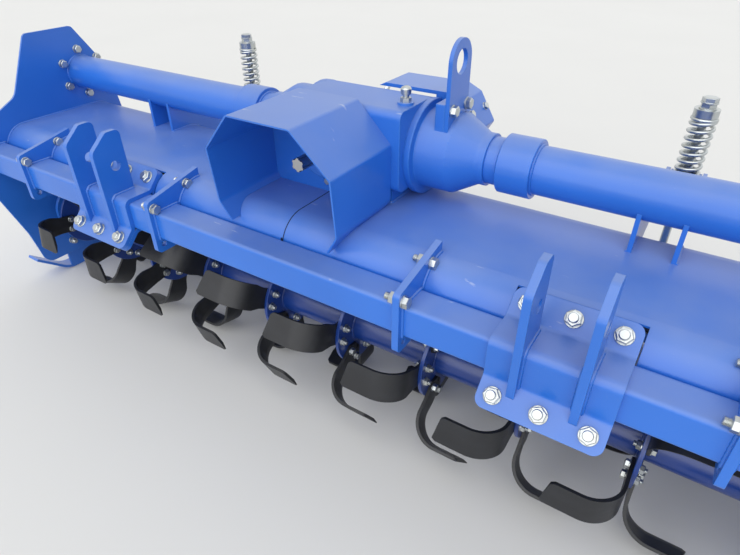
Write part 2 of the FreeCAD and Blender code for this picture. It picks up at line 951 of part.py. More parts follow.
def blade():
    """One right-bent blade, upright above the rotor's axis, leading edge forward."""
    half = blade_width / 2
    root_half = blade_root_width / 2
    height = blade_height()
    inside = disc_thickness / 2
    path = [(inside, -blade_root_length, 0.0)]
    for i in range(blade_bend_flats):
        angle = (i + 0.5) / blade_bend_flats * math.pi / 2
        step = blade_bend_radius / math.cos(math.pi / 4 / blade_bend_flats)
        u = inside + blade_bend_radius - step * math.cos(angle)
        v = height - blade_bend_radius + step * math.sin(angle)
        path.append((u, v, 0.0))
    path.append((inside + blade_reach, height, 0.0))
    strap = folded_sheet(path, -blade_thickness, "y", -half, half)
    side_view = (
        (-root_half, blade_root_chamfer - blade_root_length),
        (blade_root_chamfer - root_half, -blade_root_length),
        (root_half - blade_root_chamfer, -blade_root_length),
        (root_half, blade_root_chamfer - blade_root_length),
        (root_half, blade_neck),
        (half, blade_full),
        (half, height),
        (-half, height),
        (-half, blade_full),
        (-root_half, blade_neck),
    )
    top_view = (
        (inside, -half),
        (inside + blade_reach, -half),
        (inside + blade_reach - blade_end_slant, half),
        (inside, half),
    )
    shape = strap.common(prism(side_view, "x", inside, inside + blade_reach))
    shape = shape.common(prism(top_view, "z", -blade_root_length, height))
    shape = biggest(shape)
    shape.rotate(Vector(0, 0, 0), Vector(1, 0, 0), -blade_lean_deg)
    shape.translate(Vector(0, 0, blade_bolt_radius + rotor_height))
    return shape


def rotor_ring(radius, half):
    """The rotor's tube, or a disc round it, to half on each side of x = 0."""
    inside = rotor_tube_radius - rotor_tube_wall
    profile = (
        (-half, inside),
        (-half, radius),
        (half, radius),
        (half, inside),
        (-half, inside),
    )
    return faceted(profile, rotor_facets, "x", 0, rotor_height)


def bladed_disc(sides):
    """A disc round the tube with the blades that bend to each side, about x = 0."""
    half = disc_thickness / 2
    pieces = [rotor_ring(disc_radius, half)]
    pattern = blade()
    for side in sides:
        offset = 0.0 if side > 0 else 180.0 / blade_pairs
        for k in range(blade_pairs):
            one = pattern.copy() if side > 0 else mirrored(pattern)
            angle = offset + k * 360.0 / blade_pairs
            one.rotate(Vector(0, 0, rotor_height), Vector(1, 0, 0), angle)
            pieces.append(one)
    return fused(pieces)


def blade_rotor():
    """Tube with its bladed discs; the end discs have no blades that bend outward."""
    pieces = [rotor_ring(rotor_tube_radius, rotor_reach - rotor_flange_thickness)]
    middle = bladed_disc((-1, 1))
    ends = {0: bladed_disc((1,)), disc_count - 1: bladed_disc((-1,))}
    for i, (x, turn) in enumerate(disc_places()):
        one = ends.get(i, middle).copy()
        one.rotate(Vector(0, 0, rotor_height), Vector(1, 0, 0), turn)
        one.translate(Vector(x, 0, 0))
        pieces.append(one)
    return fused(pieces)


def input_shaft():
    """Splined shaft end in the gearbox's boss."""
    front = input_boss_front - input_shaft_length
    end = input_boss_front + input_shaft_seat
    shaft = cylinder(input_shaft_radius, "y", 0, input_z, front, end)
    width = 2 * math.pi * input_shaft_radius / spline_count - spline_width
    floor = input_z + input_shaft_radius - spline_depth
    for i in range(spline_count):
        groove = block(
            -width / 2,
            width / 2,
            front,
            input_boss_front - spline_end_gap,
            floor,
            floor + 2 * spline_depth,
        )
        angle = (i + 0.5) * 360.0 / spline_count
        groove.rotate(Vector(0, 0, input_z), Vector(0, 1, 0), angle)
        shaft = shaft.cut(groove)
    return shaft


# Levelling board


def board_direction(degrees):
    """Down the board at an angle below the level, in y and z."""
    angle = math.radians(degrees)
    return Vector(math.cos(angle), -math.sin(angle), 0)


def board_outward():
    """Away from the rotor, square to the board's lower half."""
    lower = board_direction(board_lower_deg)
    return Vector(-lower.y, lower.x, 0)


def board_corners():
    """The board's inner face: its hinge edge, its bend and its trailing edge."""
    upper = board_direction(board_upper_deg)
    lower = board_direction(board_lower_deg)
    hinge = Vector(hinge_y, hinge_z, 0)
    edge = hinge + upper * board_start - Vector(-upper.y, upper.x, 0) * board_thickness / 2
    bend = edge + upper * board_upper_length
    lower_length = (bend.y - board_ground_gap) / -lower.y
    return edge, bend, bend + lower * lower_length


def rod_pin_place():
    """The rod's pin over the board's outer face, in y and z."""
    tip = board_corners()[2]
    rise = board_direction(board_lower_deg) * rod_pin_rise
    return tip - rise + board_outward() * rod_pin_out


rod_y = rod_pin_place().x
rod_pin_z = rod_pin_place().y


def board_path():
    edge, bend, tip = board_corners()
    return ((edge.x, edge.y, 0.0), (bend.x, bend.y, board_bend_radius), (tip.x, tip.y, 0.0))


def board_rib(x):
    """A rib up the board's outer face, down to the bar at the trailing edge."""
    start = x - board_rib_thickness / 2
    end = x + board_rib_thickness / 2
    edge, bend, tip = board_corners()
    foot = tip - board_direction(board_lower_deg) * board_bar_height
    path = ((edge.x, edge.y, 0.0), (bend.x, bend.y, board_bend_radius), (foot.x, foot.y, 0.0))
    return folded_sheet(path, board_thickness + board_rib_height, "x", start, end)


def levelling_board():
    """The board with its ribs and the stiffening bar at its trailing edge."""
    sheet = folded_sheet(board_path(), board_thickness, "x", -board_half, board_half)
    lower = board_direction(board_lower_deg)
    outward = board_outward()
    foot = board_corners()[2] + outward * board_thickness
    head = foot - lower * board_bar_height
    out = outward * board_bar_thickness
    section = [(p.x, p.y) for p in (foot, head, head + out, foot + out)]
    bar = prism(section, "x", -board_half, board_half)
    ribs = both_sides(board_rib, board_rib_x)
    return fused([sheet, bar, *ribs.Solids])


def board_knuckle(x):
    """A hinge tube with the tongue that is welded to the board's upper edge."""
    start = x - knuckle_length / 2
    end = x + knuckle_length / 2
    direction = board_direction(board_upper_deg)
    side = Vector(-direction.y, direction.x, 0) * knuckle_tongue / 2
    hinge = Vector(hinge_y, hinge_z, 0)
    tip = hinge + direction * board_start
    tongue = [(p.x, p.y) for p in (hinge - side, tip - side, tip + side, hinge + side)]
    tube = cylinder(knuckle_radius, "x", hinge_y, hinge_z, start, end)
    bore = cylinder(hinge_pin_radius + hinge_clearance, "x", hinge_y, hinge_z, start, end)
    return fused([tube, prism(tongue, "x", start, end)]).cut(bore)


def board_knuckles():
    return both_sides(board_knuckle, knuckle_x)


def hinge_lug(x):
    """A lug under the hood's rear slope that holds the hinge pin."""
    start = x - hinge_lug_thickness / 2
    end = x + hinge_lug_thickness / 2
    slope = Vector(deck_rear - hood_end_y, deck_height - hood_end_z, 0).normalize()
    edge = Vector(hood_end_y, hood_end_z, 0)
    upper = edge + slope * hinge_lug_length
    hinge = Vector(hinge_y, hinge_z, 0)
    across = Vector(slope.y, -slope.x, 0) * hinge_lug_radius
    below = hinge - slope * hinge_lug_radius
    corners = (hinge - across, upper, hinge + across, below + across / 2, below - across / 2)
    lug = prism([(p.x, p.y) for p in corners], "x", start, end)
    return biggest(lug.cut(folded_sheet(hood_path(), hood_thickness, "x", start, end)))


def hinge_bar():
    """The hinge pin, held by the lugs under the hood's rear edge."""
    reach = max(hinge_lug_x) + hinge_lug_thickness / 2 + hinge_pin_end
    pin = cylinder(hinge_pin_radius, "x", hinge_y, hinge_z, -reach, reach)
    return fused([pin, *both_sides(hinge_lug, hinge_lug_x).Solids])


def rod_lugs():
    """Lugs and pins on the board for the rods' eyes."""
    inner = rod_eye_width / 2 + rod_lug_gap
    outer = inner + rod_lug_thickness
    lower = board_direction(board_lower_deg)
    pin = Vector(rod_y, rod_pin_z, 0)
    foot = pin - board_outward() * (rod_pin_out - board_thickness)
    web = [
        (p.x, p.y)
        for p in (
            foot - lower * rod_lug_foot,
            foot + lower * rod_lug_foot,
            pin + lower * rod_lug_radius,
            pin - lower * rod_lug_radius,
        )
    ]
    pieces = [cylinder(rod_pin_radius, "x", rod_y, rod_pin_z, rod_x - outer, rod_x + outer)]
    for side in (-1, 1):
        start, end = sorted((rod_x + side * inner, rod_x + side * outer))
        pieces.append(prism(web, "x", start, end))
        pieces.append(cylinder(rod_lug_radius, "x", rod_y, rod_pin_z, start, end))
    lugs = fused(pieces)
    return pair(lugs.cut(folded_sheet(board_path(), board_thickness, "x", 0, board_half)))


def spring_arm():
    """Right arm: two plates from the hood to the guide's trunnions, with a tie between."""
    neck = rod_y - arm_neck
    end_y = rod_y + arm_end_reach
    outline = (
        (arm_front, deck_height - arm_lower_drop, 0.0),
        (arm_front, axle_z, 0.0),
        (arm_upper_y, axle_z - arm_upper_drop, 0.0),
        (neck, guide_z + arm_neck_half, 0.0),
        (end_y, guide_z + arm_end_half, arm_end_corner),
        (end_y, guide_z - arm_end_half, arm_end_corner),
        (neck, guide_z - arm_neck_half, 0.0),
        (arm_lower_y, deck_height - arm_lower_drop, 0.0),
    )
    inner = guide_half_x + guide_side_gap
    outer = inner + arm_thickness
    parts = []
    for side in (-1, 1):
        start, end = sorted((rod_x + side * inner, rod_x + side * outer))
        plate = prism(outline, "x", start, end).cut(hood_space())
        plate = plate.cut(cylinder(axle_tube_radius, "x", axle_y, axle_z, start, end))
        hole_radius = guide_pin_radius + bearing_gap
        plate = plate.cut(cylinder(hole_radius, "x", rod_y, guide_z, start, end))
        parts.append(biggest(plate))
    tie = block(
        rod_x - inner,
        rod_x + inner,
        arm_tie_front,
        arm_tie_rear,
        guide_z - arm_tie_thickness / 2,
        guide_z + arm_tie_thickness / 2,
    )
    return fused([*parts, tie])


def guide():
    """Right swivel guide: a block with trunnions and the rod's bore."""
    low = guide_z - guide_half_z
    high = guide_z + guide_half_z
    body = block(
        rod_x - guide_half_x,
        rod_x + guide_half_x,
        rod_y - guide_half_y,
        rod_y + guide_half_y,
        low,
        high,
    )
    reach = guide_half_x + guide_side_gap + arm_thickness + guide_pin_end
    pins = cylinder(guide_pin_radius, "x", rod_y, guide_z, rod_x - reach, rod_x + reach)
    bore = cylinder(rod_radius + slide_clearance, "z", rod_x, rod_y, low, high)
    return fused([body, pins]).cut(bore)


def spring_rod():
    """Right rod with the eye at its foot and the spring's cap, held by nuts."""
    cap_low = spring_seat_z + spring_length
    cap_top = cap_low + cap_height
    half = rod_eye_width / 2
    shaft = cylinder(rod_radius, "z", rod_x, rod_y, rod_pin_z, cap_top + rod_end_height)
    cap = cylinder(cap_radius, "z", rod_x, rod_y, cap_low, cap_top)
    eye = cylinder(rod_eye_radius, "x", rod_y, rod_pin_z, rod_x - half, rod_x + half)
    hole_radius = rod_pin_radius + rod_eye_clearance
    hole = cylinder(hole_radius, "x", rod_y, rod_pin_z, rod_x - half, rod_x + half)
    return fused([shaft, cap, eye]).cut(hole)


def spring():
    """Right spring: a sleeve of flat facets, its turns as ridges."""
    pitch = spring_length / spring_turns
    inside = spring_radius - spring_wire
    valley = spring_radius - spring_wire / 2
    top = spring_seat_z + spring_length
    profile = [(spring_seat_z, inside)]
    for i in range(spring_turns):
        low = spring_seat_z + i * pitch
        profile += [(low, valley), (low + pitch / 2, spring_radius)]
    profile += [(top, valley), (top, inside), (spring_seat_z, inside)]
    return faceted(profile, spring_facets, "z", rod_x, rod_y)


def build():
    """Every piece of the machine by its node's name."""
    right = {
        "side_plate": side_plate(),
        "skid": skid(),
        "spring_arm": spring_arm(),
        "guide": guide(),
        "spring_rod": spring_rod(),
        "spring": spring(),
    }
    pieces = {
        "front_beam": front_beam(),
        "beam_flanges": beam_flanges(),
        "hood": hood(),
        "hinge_bar": hinge_bar(),
        "gearbox_housing": gearbox_housing(),
        "gearbox_guard": gearbox_guard(),
        "gearbox_front_plate": front_plate(),
        "shaft_shield": shield(),
        "axle_tube_right": axle_tube(gear_right + trumpet_length),
        "axle_tube_left": mirrored(axle_tube(trumpet_length - gear_left)),
        "drive_case": drive_case(),
        "drive_cover": drive_cover(),
        "bearing_hub": bearing_hub(),
        "lifting_lug": lifting_lug(),
        "blade_rotor": blade_rotor(),
        "rotor_stubs": rotor_stubs(),
        "input_shaft": input_shaft(),
        "levelling_board": levelling_board(),
        "board_knuckles": board_knuckles(),
        "rod_lugs": rod_lugs(),
    }
    for name, shape in right.items():
        pieces[name + "_right"] = shape
        pieces[name + "_left"] = mirrored(shape)
    for side, x in hitch_x.items():
        pieces["clamp_front_" + side] = clamp_front(x)
        pieces["clamp_rear_" + side] = clamp_rear(x)
        pieces["hitch_ears_" + side] = hitch_ears(x)
    return pieces


def machine_middle(pieces):
    """The middle of the machine's length, which stands over the origin."""
    low = min(shape.BoundBox.YMin for shape in pieces.values())
    high = max(shape.BoundBox.YMax for shape in pieces.values())
    return (low + high) / 2


def main():
    os.makedirs("parts", exist_ok=True)
    pieces = build()
    middle = machine_middle(pieces)
    for name, shape in pieces.items():
        shape.translate(Vector(0, -middle, 0))
        shape.exportStep("parts/" + name + ".step")
        box = shape.BoundBox
        print(
            f"{name:22s} solids {len(shape.Solids)} faces {len(shape.Faces)}"
            f" valid {shape.isValid()} x {box.XMin:.0f} {box.XMax:.0f}"
            f" y {box.YMin:.0f} {box.YMax:.0f} z {box.ZMin:.0f} {box.ZMax:.0f}"
        )
    print("middle", middle)


if __name__ == "__main__":
    main()
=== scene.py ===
"""Rotavator: finishes, fittings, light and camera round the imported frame.

Lengths are in millimetres, and in metres where a docstring says so and inside the finishes.
"""

from __future__ import annotations

import logging
import math
from dataclasses import dataclass
from enum import Enum
from functools import cached_property
from typing import Iterable, Sequence, Union

import bpy
from mathutils import Matrix, Vector

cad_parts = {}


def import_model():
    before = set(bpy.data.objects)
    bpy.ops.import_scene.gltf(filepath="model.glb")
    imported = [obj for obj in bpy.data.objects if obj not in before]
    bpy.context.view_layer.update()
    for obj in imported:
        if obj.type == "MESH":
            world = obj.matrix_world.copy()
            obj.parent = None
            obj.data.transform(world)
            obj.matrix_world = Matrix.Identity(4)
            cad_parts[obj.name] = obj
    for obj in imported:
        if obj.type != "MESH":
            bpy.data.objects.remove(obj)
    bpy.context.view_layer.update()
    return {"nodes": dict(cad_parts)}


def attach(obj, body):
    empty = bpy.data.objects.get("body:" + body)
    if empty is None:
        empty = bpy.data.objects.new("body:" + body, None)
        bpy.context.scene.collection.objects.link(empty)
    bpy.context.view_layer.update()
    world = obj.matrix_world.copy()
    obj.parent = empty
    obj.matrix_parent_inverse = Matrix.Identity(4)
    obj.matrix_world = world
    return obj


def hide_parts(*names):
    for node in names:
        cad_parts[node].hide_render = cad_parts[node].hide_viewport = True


Pair = tuple[float, float]
Triple = tuple[float, float, float]
Piece = bpy.types.Object

LOG = logging.getLogger("rotavator")
MM = 0.001
SIDES = {1: "right", -1: "left"}
RIGHT, LEFT = Vector((1, 0, 0)), Vector((-1, 0, 0))
FRONT, REAR = Vector((0, -1, 0)), Vector((0, 1, 0))
UP = Vector((0, 0, 1))

ROTOR_Y = -199.891
ROTOR_Z = 257.0
SHAFT_Y = 200.0
SHAFT_Z = 730.0
PLATE_INSIDE = 1262.0
WIRE = {"dimensions": "3D", "use_fill_caps": True}


def spot(x: float, y: float, z: float) -> Vector:
    """A place in the row's frame, in metres.

    Args:
        x: To the right, from the machine's middle.
        y: Rearward, from the rotor's axis.
        z: Height above the ground.

    Returns:
        The place.
    """
    return Vector((x, y + ROTOR_Y, z)) * MM


class Slot(Enum):
    """The record's material slots."""

    PAINT = "blue_paint"
    BLADE = "black_blades"
    ZINC = "zinc_plated"
    STEEL = "bare_steel"


# Shader maths


Value = Union[float, "Signal"]
Colour = Union[Triple, "Signal"]
Inputs = dict[Union[str, int], object]


class Signal:
    """A socket that changes over a surface, with Python's arithmetic."""

    def __init__(self, sheet: NodeSheet, socket: bpy.types.NodeSocket) -> None:
        """Keep the sheet and the socket."""
        self.sheet = sheet
        self.socket = socket

    def _math(self, operation: str, *values: Value) -> Signal:
        """Add one Math node on these values."""
        return self.sheet.add("Math", dict(enumerate(values)), operation=operation)

    def __add__(self, other: Value) -> Signal:
        """Sum."""
        return self._math("ADD", self, other)

    __radd__ = __add__

    def __sub__(self, other: Value) -> Signal:
        """Difference."""
        return self._math("SUBTRACT", self, other)

    def __rsub__(self, other: Value) -> Signal:
        """Difference from a number."""
        return self._math("SUBTRACT", other, self)

    def __mul__(self, other: Value) -> Signal:
        """Product."""
        return self._math("MULTIPLY", self, other)

    __rmul__ = __mul__

    def ramp(self, low: float, high: float) -> Signal:
        """0 at low to 1 at high, smooth between."""
        inputs = {"Value": self, "From Min": low, "From Max": high}
        return self.sheet.add("MapRange", inputs, interpolation_type="SMOOTHSTEP")


class NodeSheet:
    """The nodes of one material or surround."""

    def __init__(self, owner: Union[bpy.types.Material, bpy.types.World]) -> None:
        """Empty the owner's node tree."""
        self.owner = owner
        owner.use_nodes = True
        self.tree = owner.node_tree
        self.tree.nodes.clear()

    @cached_property
    def place(self) -> Signal:
        """The place on the piece, in the piece's own coordinates."""
        return self.add("TexCoord", output="Object")

    def add(
        self, kind: str, inputs: Inputs | None = None, output: Union[str, int] = 0, **settings: object
    ) -> Signal:
        """Add a node.

        Args:
            kind: The node's type, without its ShaderNode.
            inputs: Values or links of its sockets.
            output: Which of its outputs to give back.
            settings: Its settings, set first.

        Returns:
            The output's signal.
        """
        node = self.tree.nodes.new(f"ShaderNode{kind}")
        for key, value in settings.items():
            setattr(node, key, value)
        for key, value in (inputs or {}).items():
            socket = node.inputs[key]
            if isinstance(value, Signal):
                self.tree.links.new(value.socket, socket)
            elif socket.type == "RGBA":
                socket.default_value = (*value, 1.0)
            else:
                socket.default_value = value
        return Signal(self, node.outputs[output])

    def close(self, shader: Signal, kind: str) -> None:
        """Lead a shader to an output node of a kind."""
        self.tree.links.new(shader.socket, self.tree.nodes.new(kind).inputs["Surface"])

    def surface(self, inputs: Inputs) -> bpy.types.Material:
        """Close a material with one surface shader on these inputs."""
        self.close(self.add("BsdfPrincipled", inputs), "ShaderNodeOutputMaterial")
        return self.owner

    def noise(self, scale: float, detail: float, stretch: Triple | None = None) -> Signal:
        """Noise on the piece's own place.

        Args:
            scale: Cells in a metre.
            detail: Finer layers.
            stretch: Scale along each axis.

        Returns:
            Noise from 0 to 1.
        """
        place = self.place
        if stretch:
            place = self.add("VectorMath", {0: place, 1: stretch}, operation="MULTIPLY")
        return self.add("TexNoise", {"Vector": place, "Scale": scale, "Detail": detail}, "Fac")

    def blend(self, mask: Value, low: Colour, high: Colour) -> Signal:
        """Mix two colours, low where the mask is 0 and high where it is 1."""
        return self.add("Mix", {0: mask, 6: low, 7: high}, 2, data_type="RGBA")

    def round_edges(self, radius: float) -> tuple[Signal, Signal]:
        """Soften the normal at edges.

        Args:
            radius: Radius of the softened edge.

        Returns:
            The softened normal, and a mask that is 1 on edges.
        """
        soft = self.add("Bevel", {"Radius": radius}, samples=4)
        true = self.add("NewGeometry", output="Normal")
        likeness = self.add("VectorMath", {0: soft, 1: true}, "Value", operation="DOT_PRODUCT")
        return soft, likeness.ramp(0.995, 0.85)

    def upward(self) -> Signal:
        """1 on level faces that look up, 0 on walls."""
        normal = self.add("NewGeometry", output="Normal")
        return self.add("SeparateXYZ", {0: normal}, "Z").ramp(0.3, 1.0)

    def bump(self, height: Signal, distance: float, normal: Signal) -> Signal:
        """The normal bumped by a height of 0 to 1 that stands for a distance."""
        return self.add("Bump", {"Height": height, "Distance": distance, "Strength": 1.0, "Normal": normal})


# Finishes


@dataclass(frozen=True)
class Enamel:
    """Machine enamel: orange peel, dust on level faces, lighter edges that are partly thin paint and partly
    painted highlight.
    """

    name: str
    colour: Triple = (0.024, 0.155, 0.62)
    deep: Triple = (0.020, 0.135, 0.55)
    # Edge tone: partly thin paint, partly painted highlight where edges catch the light.
    edge: Triple = (0.05, 0.26, 0.80)
    dust: Triple = (0.36, 0.40, 0.48)
    scuff: Triple = (0.62, 0.66, 0.72)
    dustiness: float = 0.50
    roughness: float = 0.30
    peel: float = 0.00012
    grain: float = 0.0
    edge_radius: float = 0.0018

    def make(self) -> bpy.types.Material:
        """Lay the paint.

        Returns:
            The material.
        """
        sheet = NodeSheet(bpy.data.materials.new(self.name))
        soft, edges = sheet.round_edges(self.edge_radius)
        film = sheet.noise(9.0, 5.0)
        specks = sheet.noise(260.0, 1.0).ramp(0.72, 0.78)
        scuffs = sheet.noise(13.0, 5.0, (1.0, 4.5, 2.0)).ramp(0.71, 0.75)
        dust = sheet.upward() * self.dustiness * (film * 0.6 + 0.2)
        base = sheet.blend(sheet.noise(2.6, 3.0).ramp(0.3, 0.7), self.colour, self.deep)
        # Lighter tone on edges: partly thin paint, partly painted highlight.
        base = sheet.blend(edges * 0.45, base, self.edge)
        base = sheet.blend(dust + specks * 0.06, base, self.dust)
        base = sheet.blend(scuffs * sheet.upward() * 0.4, base, self.scuff)
        normal = sheet.bump(sheet.noise(420.0, 1.0), self.peel, soft)
        if self.grain:
            normal = sheet.bump(sheet.noise(700.0, 4.0), self.grain, normal)
        return sheet.surface(
            {
                "Base Color": base,
                "Roughness": self.roughness + dust * 0.4 + (film - 0.5) * 0.06 + scuffs * 0.2,
                "Normal": normal,
                "Coat Weight": 0.2,
                "Coat Roughness": 0.18,
            }
        )


@dataclass(frozen=True)
class BladePaint:
    """Satin black over forged steel."""

    name: str = "blade_black"
    colour: Triple = (0.010, 0.011, 0.014)
    rubbed: Triple = (0.020, 0.022, 0.028)
    worn: Triple = (0.060, 0.063, 0.072)

    def make(self) -> bpy.types.Material:
        """Lay the paint on the forging's scale.

        Returns:
            The material.
        """
        sheet = NodeSheet(bpy.data.materials.new(self.name))
        soft, edges = sheet.round_edges(0.0012)
        scale = sheet.noise(60.0, 6.0)
        rub = sheet.noise(14.0, 3.0, (1.0, 2.5, 2.5))
        colour = sheet.blend(rub.ramp(0.35, 0.8) * 0.5, self.colour, self.rubbed)
        colour = sheet.blend(edges * scale.ramp(0.35, 0.65) * 0.5, colour, self.worn)
        normal = sheet.bump(sheet.noise(30.0, 3.0), 0.0005, soft)
        normal = sheet.bump(sheet.noise(650.0, 2.0), 0.00008, normal)
        rough = 0.32 + scale * 0.14 + rub * 0.08
        return sheet.surface({"Base Color": colour, "Roughness": rough, "Normal": normal})


@dataclass(frozen=True)
class Plating:
    """Bright zinc with a mottled sheen."""

    name: str
    colour: Triple = (0.50, 0.53, 0.54)
    warm: Triple = (0.47, 0.47, 0.41)
    edge: Triple = (0.64, 0.65, 0.66)
    roughness: float = 0.30

    def make(self) -> bpy.types.Material:
        """Plate the steel.

        Returns:
            The material.
        """
        sheet = NodeSheet(bpy.data.materials.new(self.name))
        soft, edges = sheet.round_edges(0.0006)
        colour = sheet.blend(sheet.noise(35.0, 3.0).ramp(0.45, 0.75) * 0.6, self.colour, self.warm)
        colour = sheet.blend(edges * 0.3, colour, self.edge)
        rough = self.roughness + (sheet.noise(120.0, 3.0) - 0.5) * 0.10
        return sheet.surface({"Base Color": colour, "Metallic": 1.0, "Roughness": rough, "Normal": soft})


@dataclass(frozen=True)
class MachinedSteel:
    """Turned steel under a film of oil."""

    name: str = "machined_steel"
    colour: Triple = (0.44, 0.44, 0.45)
    oiled: Triple = (0.30, 0.27, 0.22)

    def make(self) -> bpy.types.Material:
        """Turn and oil the steel.

        Returns:
            The material.
        """
        sheet = NodeSheet(bpy.data.materials.new(self.name))
        soft, _ = sheet.round_edges(0.0006)
        rings = sheet.noise(60.0, 2.0, (0.3, 24.0, 0.3))
        colour = sheet.blend(sheet.noise(25.0, 3.0).ramp(0.4, 0.8) * 0.5, self.colour, self.oiled)
        normal = sheet.bump(rings, 0.00005, soft)
        rough = 0.24 + rings * 0.2
        return sheet.surface({"Base Color": colour, "Metallic": 1.0, "Roughness": rough, "Normal": normal})


@dataclass(frozen=True)
class DullTones:
    """Two dull tones in patches."""

    name: str
    colour: Triple
    other: Triple
    scale: float
    roughness: float

    def make(self) -> bpy.types.Material:
        """Lay the tones.

        Returns:
            The material.
        """
        sheet = NodeSheet(bpy.data.materials.new(self.name))
        tones = sheet.blend(sheet.noise(self.scale, 3.0), self.colour, self.other)
        return sheet.surface({"Base Color": tones, "Roughness": self.roughness})


@dataclass(frozen=True)
class Coat:
    """A made material and the record's slot it belongs to."""

    material: bpy.types.Material
    slot: Slot

    def cover(self, piece: Piece) -> None:
        """Give a piece this material alone."""
        piece.data.materials.clear()
        piece.data.materials.append(self.material)


class Finishes:
    """Every finish of the machine, made once."""

    def __init__(self) -> None:
        """Make the materials."""
        # The rotor's enamel is the blue enamel darkened: painted shade for the dark under the hood, with a
        # much lighter edge tone as painted highlight on the disc rims.
        painted_shade_blue, painted_shade_deep_blue, painted_lit_edge_blue = (0.008, 0.045, 0.26), (0.007, 0.036, 0.21), (0.03, 0.17, 0.62)
        shaded = Enamel("blue_rotor_painted_shade", painted_shade_blue, painted_shade_deep_blue, painted_lit_edge_blue, dustiness=0.15)
        cast = Enamel("blue_casting", roughness=0.36, peel=0.0003, grain=0.00025, edge_radius=0.005)
        seam = DullTones("seam_shadow", (0.004, 0.010, 0.045), (0.008, 0.012, 0.03), 90.0, 0.9)
        self.paint = Coat(Enamel("blue_enamel").make(), Slot.PAINT)
        self.rotor = Coat(shaded.make(), Slot.PAINT)
        self.casting = Coat(cast.make(), Slot.PAINT)
        self.blade = Coat(BladePaint().make(), Slot.BLADE)
        self.zinc = Coat(Plating("zinc_bright").make(), Slot.ZINC)
        self.spring = Coat(Plating("zinc_spring", roughness=0.32).make(), Slot.ZINC)
        self.steel = Coat(MachinedSteel().make(), Slot.STEEL)
        self.seam = Coat(seam.make(), Slot.PAINT)

    def cover_nodes(self, nodes: dict[str, Piece]) -> None:
        """Give every CAD node its finish: paint, unless it is named here.

        Args:
            nodes: The CAD nodes by name.
        """
        coats = dict.fromkeys(("gearbox_housing", "drive_case", "bearing_hub"), self.casting)
        coats |= dict.fromkeys(("spring_rod_right", "spring_rod_left"), self.zinc)
        coats["input_shaft"] = self.steel
        for name, node in nodes.items():
            coats.get(name, self.paint).cover(node)


# Bench


def clear_selection() -> None:
    """Leave edit mode and deselect everything."""
    if bpy.context.object and bpy.context.object.mode != "OBJECT":
        bpy.ops.object.mode_set(mode="OBJECT")
    bpy.ops.object.select_all(action="DESELECT")


def pick(piece: Piece) -> None:
    """Select one piece alone and make it the active one.

    Args:
        piece: The piece.
    """
    clear_selection()
    piece.select_set(True)
    bpy.context.view_layer.objects.active = piece


def outward(piece: Piece) -> Piece:
    """Turn a closed piece's faces outward.

    Args:
        piece: The piece.

    Returns:
        The piece.
    """
    pick(piece)
    bpy.ops.object.mode_set(mode="EDIT")
    bpy.ops.mesh.select_all(action="SELECT")
    bpy.ops.mesh.normals_make_consistent(inside=False)
    bpy.ops.object.mode_set(mode="OBJECT")
    return piece


def smooth(piece: Piece, degrees: float = 35.0) -> Piece:
    """Shade a piece smooth where its faces meet at less than an angle.

    Args:
        piece: The piece.
        degrees: The angle.

    Returns:
        The piece.
    """
    pick(piece)
    bpy.ops.object.shade_smooth_by_angle(angle=math.radians(degrees))
    return piece


def turned(name: str, sides: int, rings: Sequence[Pair]) -> Piece:
    """Extrude a circle ring by ring along +Z.

    Args:
        name: The piece's name.
        sides: Corners of each ring.
        rings: Height and radius of each ring.

    Returns:
        The closed piece.
    """
    clear_selection()
    height, radius = rings[0]
    bpy.ops.mesh.primitive_circle_add(
        vertices=sides, radius=radius * MM, fill_type="NGON", location=(0, 0, 0)
    )
    piece = bpy.context.object
    piece.name = name
    bpy.ops.object.mode_set(mode="EDIT")
    bpy.ops.mesh.select_all(action="SELECT")
    bpy.ops.transform.translate(value=(0, 0, height * MM))
    for next_height, next_radius in rings[1:]:
        rise, share = (next_height - height) * MM, next_radius / radius
        bpy.ops.mesh.extrude_region_move(TRANSFORM_OT_translate={"value": (0, 0, rise)})
        bpy.ops.transform.resize(value=(share, share, 1), center_override=(0, 0, next_height * MM))
        height, radius = next_height, next_radius
    return outward(piece)


def lofted(name: str, sections: Sequence[Sequence[Vector]]) -> Piece:
    """Extrude a ring through sections.

    Args:
        name: The piece's name.
        sections: The rings, each with as many corners, a multiple of 4.

    Returns:
        The closed piece.
    """
    sides = len(sections[0])
    piece = turned(name, sides, [(i / MM, 1 / MM) for i in range(len(sections))])
    for vertex in piece.data.vertices:
        column = round(math.atan2(vertex.co.y, vertex.co.x) * sides / (2 * math.pi)) % sides
        vertex.co = sections[round(vertex.co.z)][column]
    return outward(piece)


def joined(name: str, pieces: Sequence[Piece]) -> Piece:
    """Join pieces into one.

    Args:
        name: The new piece's name.
        pieces: What to join.

    Returns:
        The joined piece.
    """
    pick(pieces[0])
    for piece in pieces[1:]:
        piece.select_set(True)
    if len(pieces) > 1:
        bpy.ops.object.join()
    pieces[0].name = name
    pieces[0].data.name = name
    return pieces[0]


def facing(place: Vector, direction: Vector, roll: float = 0.0) -> Matrix:
    """The matrix that stands a piece on a place.

    Args:
        place: Where its foot goes, in metres.
        direction: Where its +Z points.
        roll: Turn about that direction, in degrees.

    Returns:
        The matrix.
    """
    turn = direction.to_track_quat("Z", "Y").to_matrix().to_4x4()
    return Matrix.Translation(place) @ turn @ Matrix.Rotation(math.radians(roll), 4, "Z")


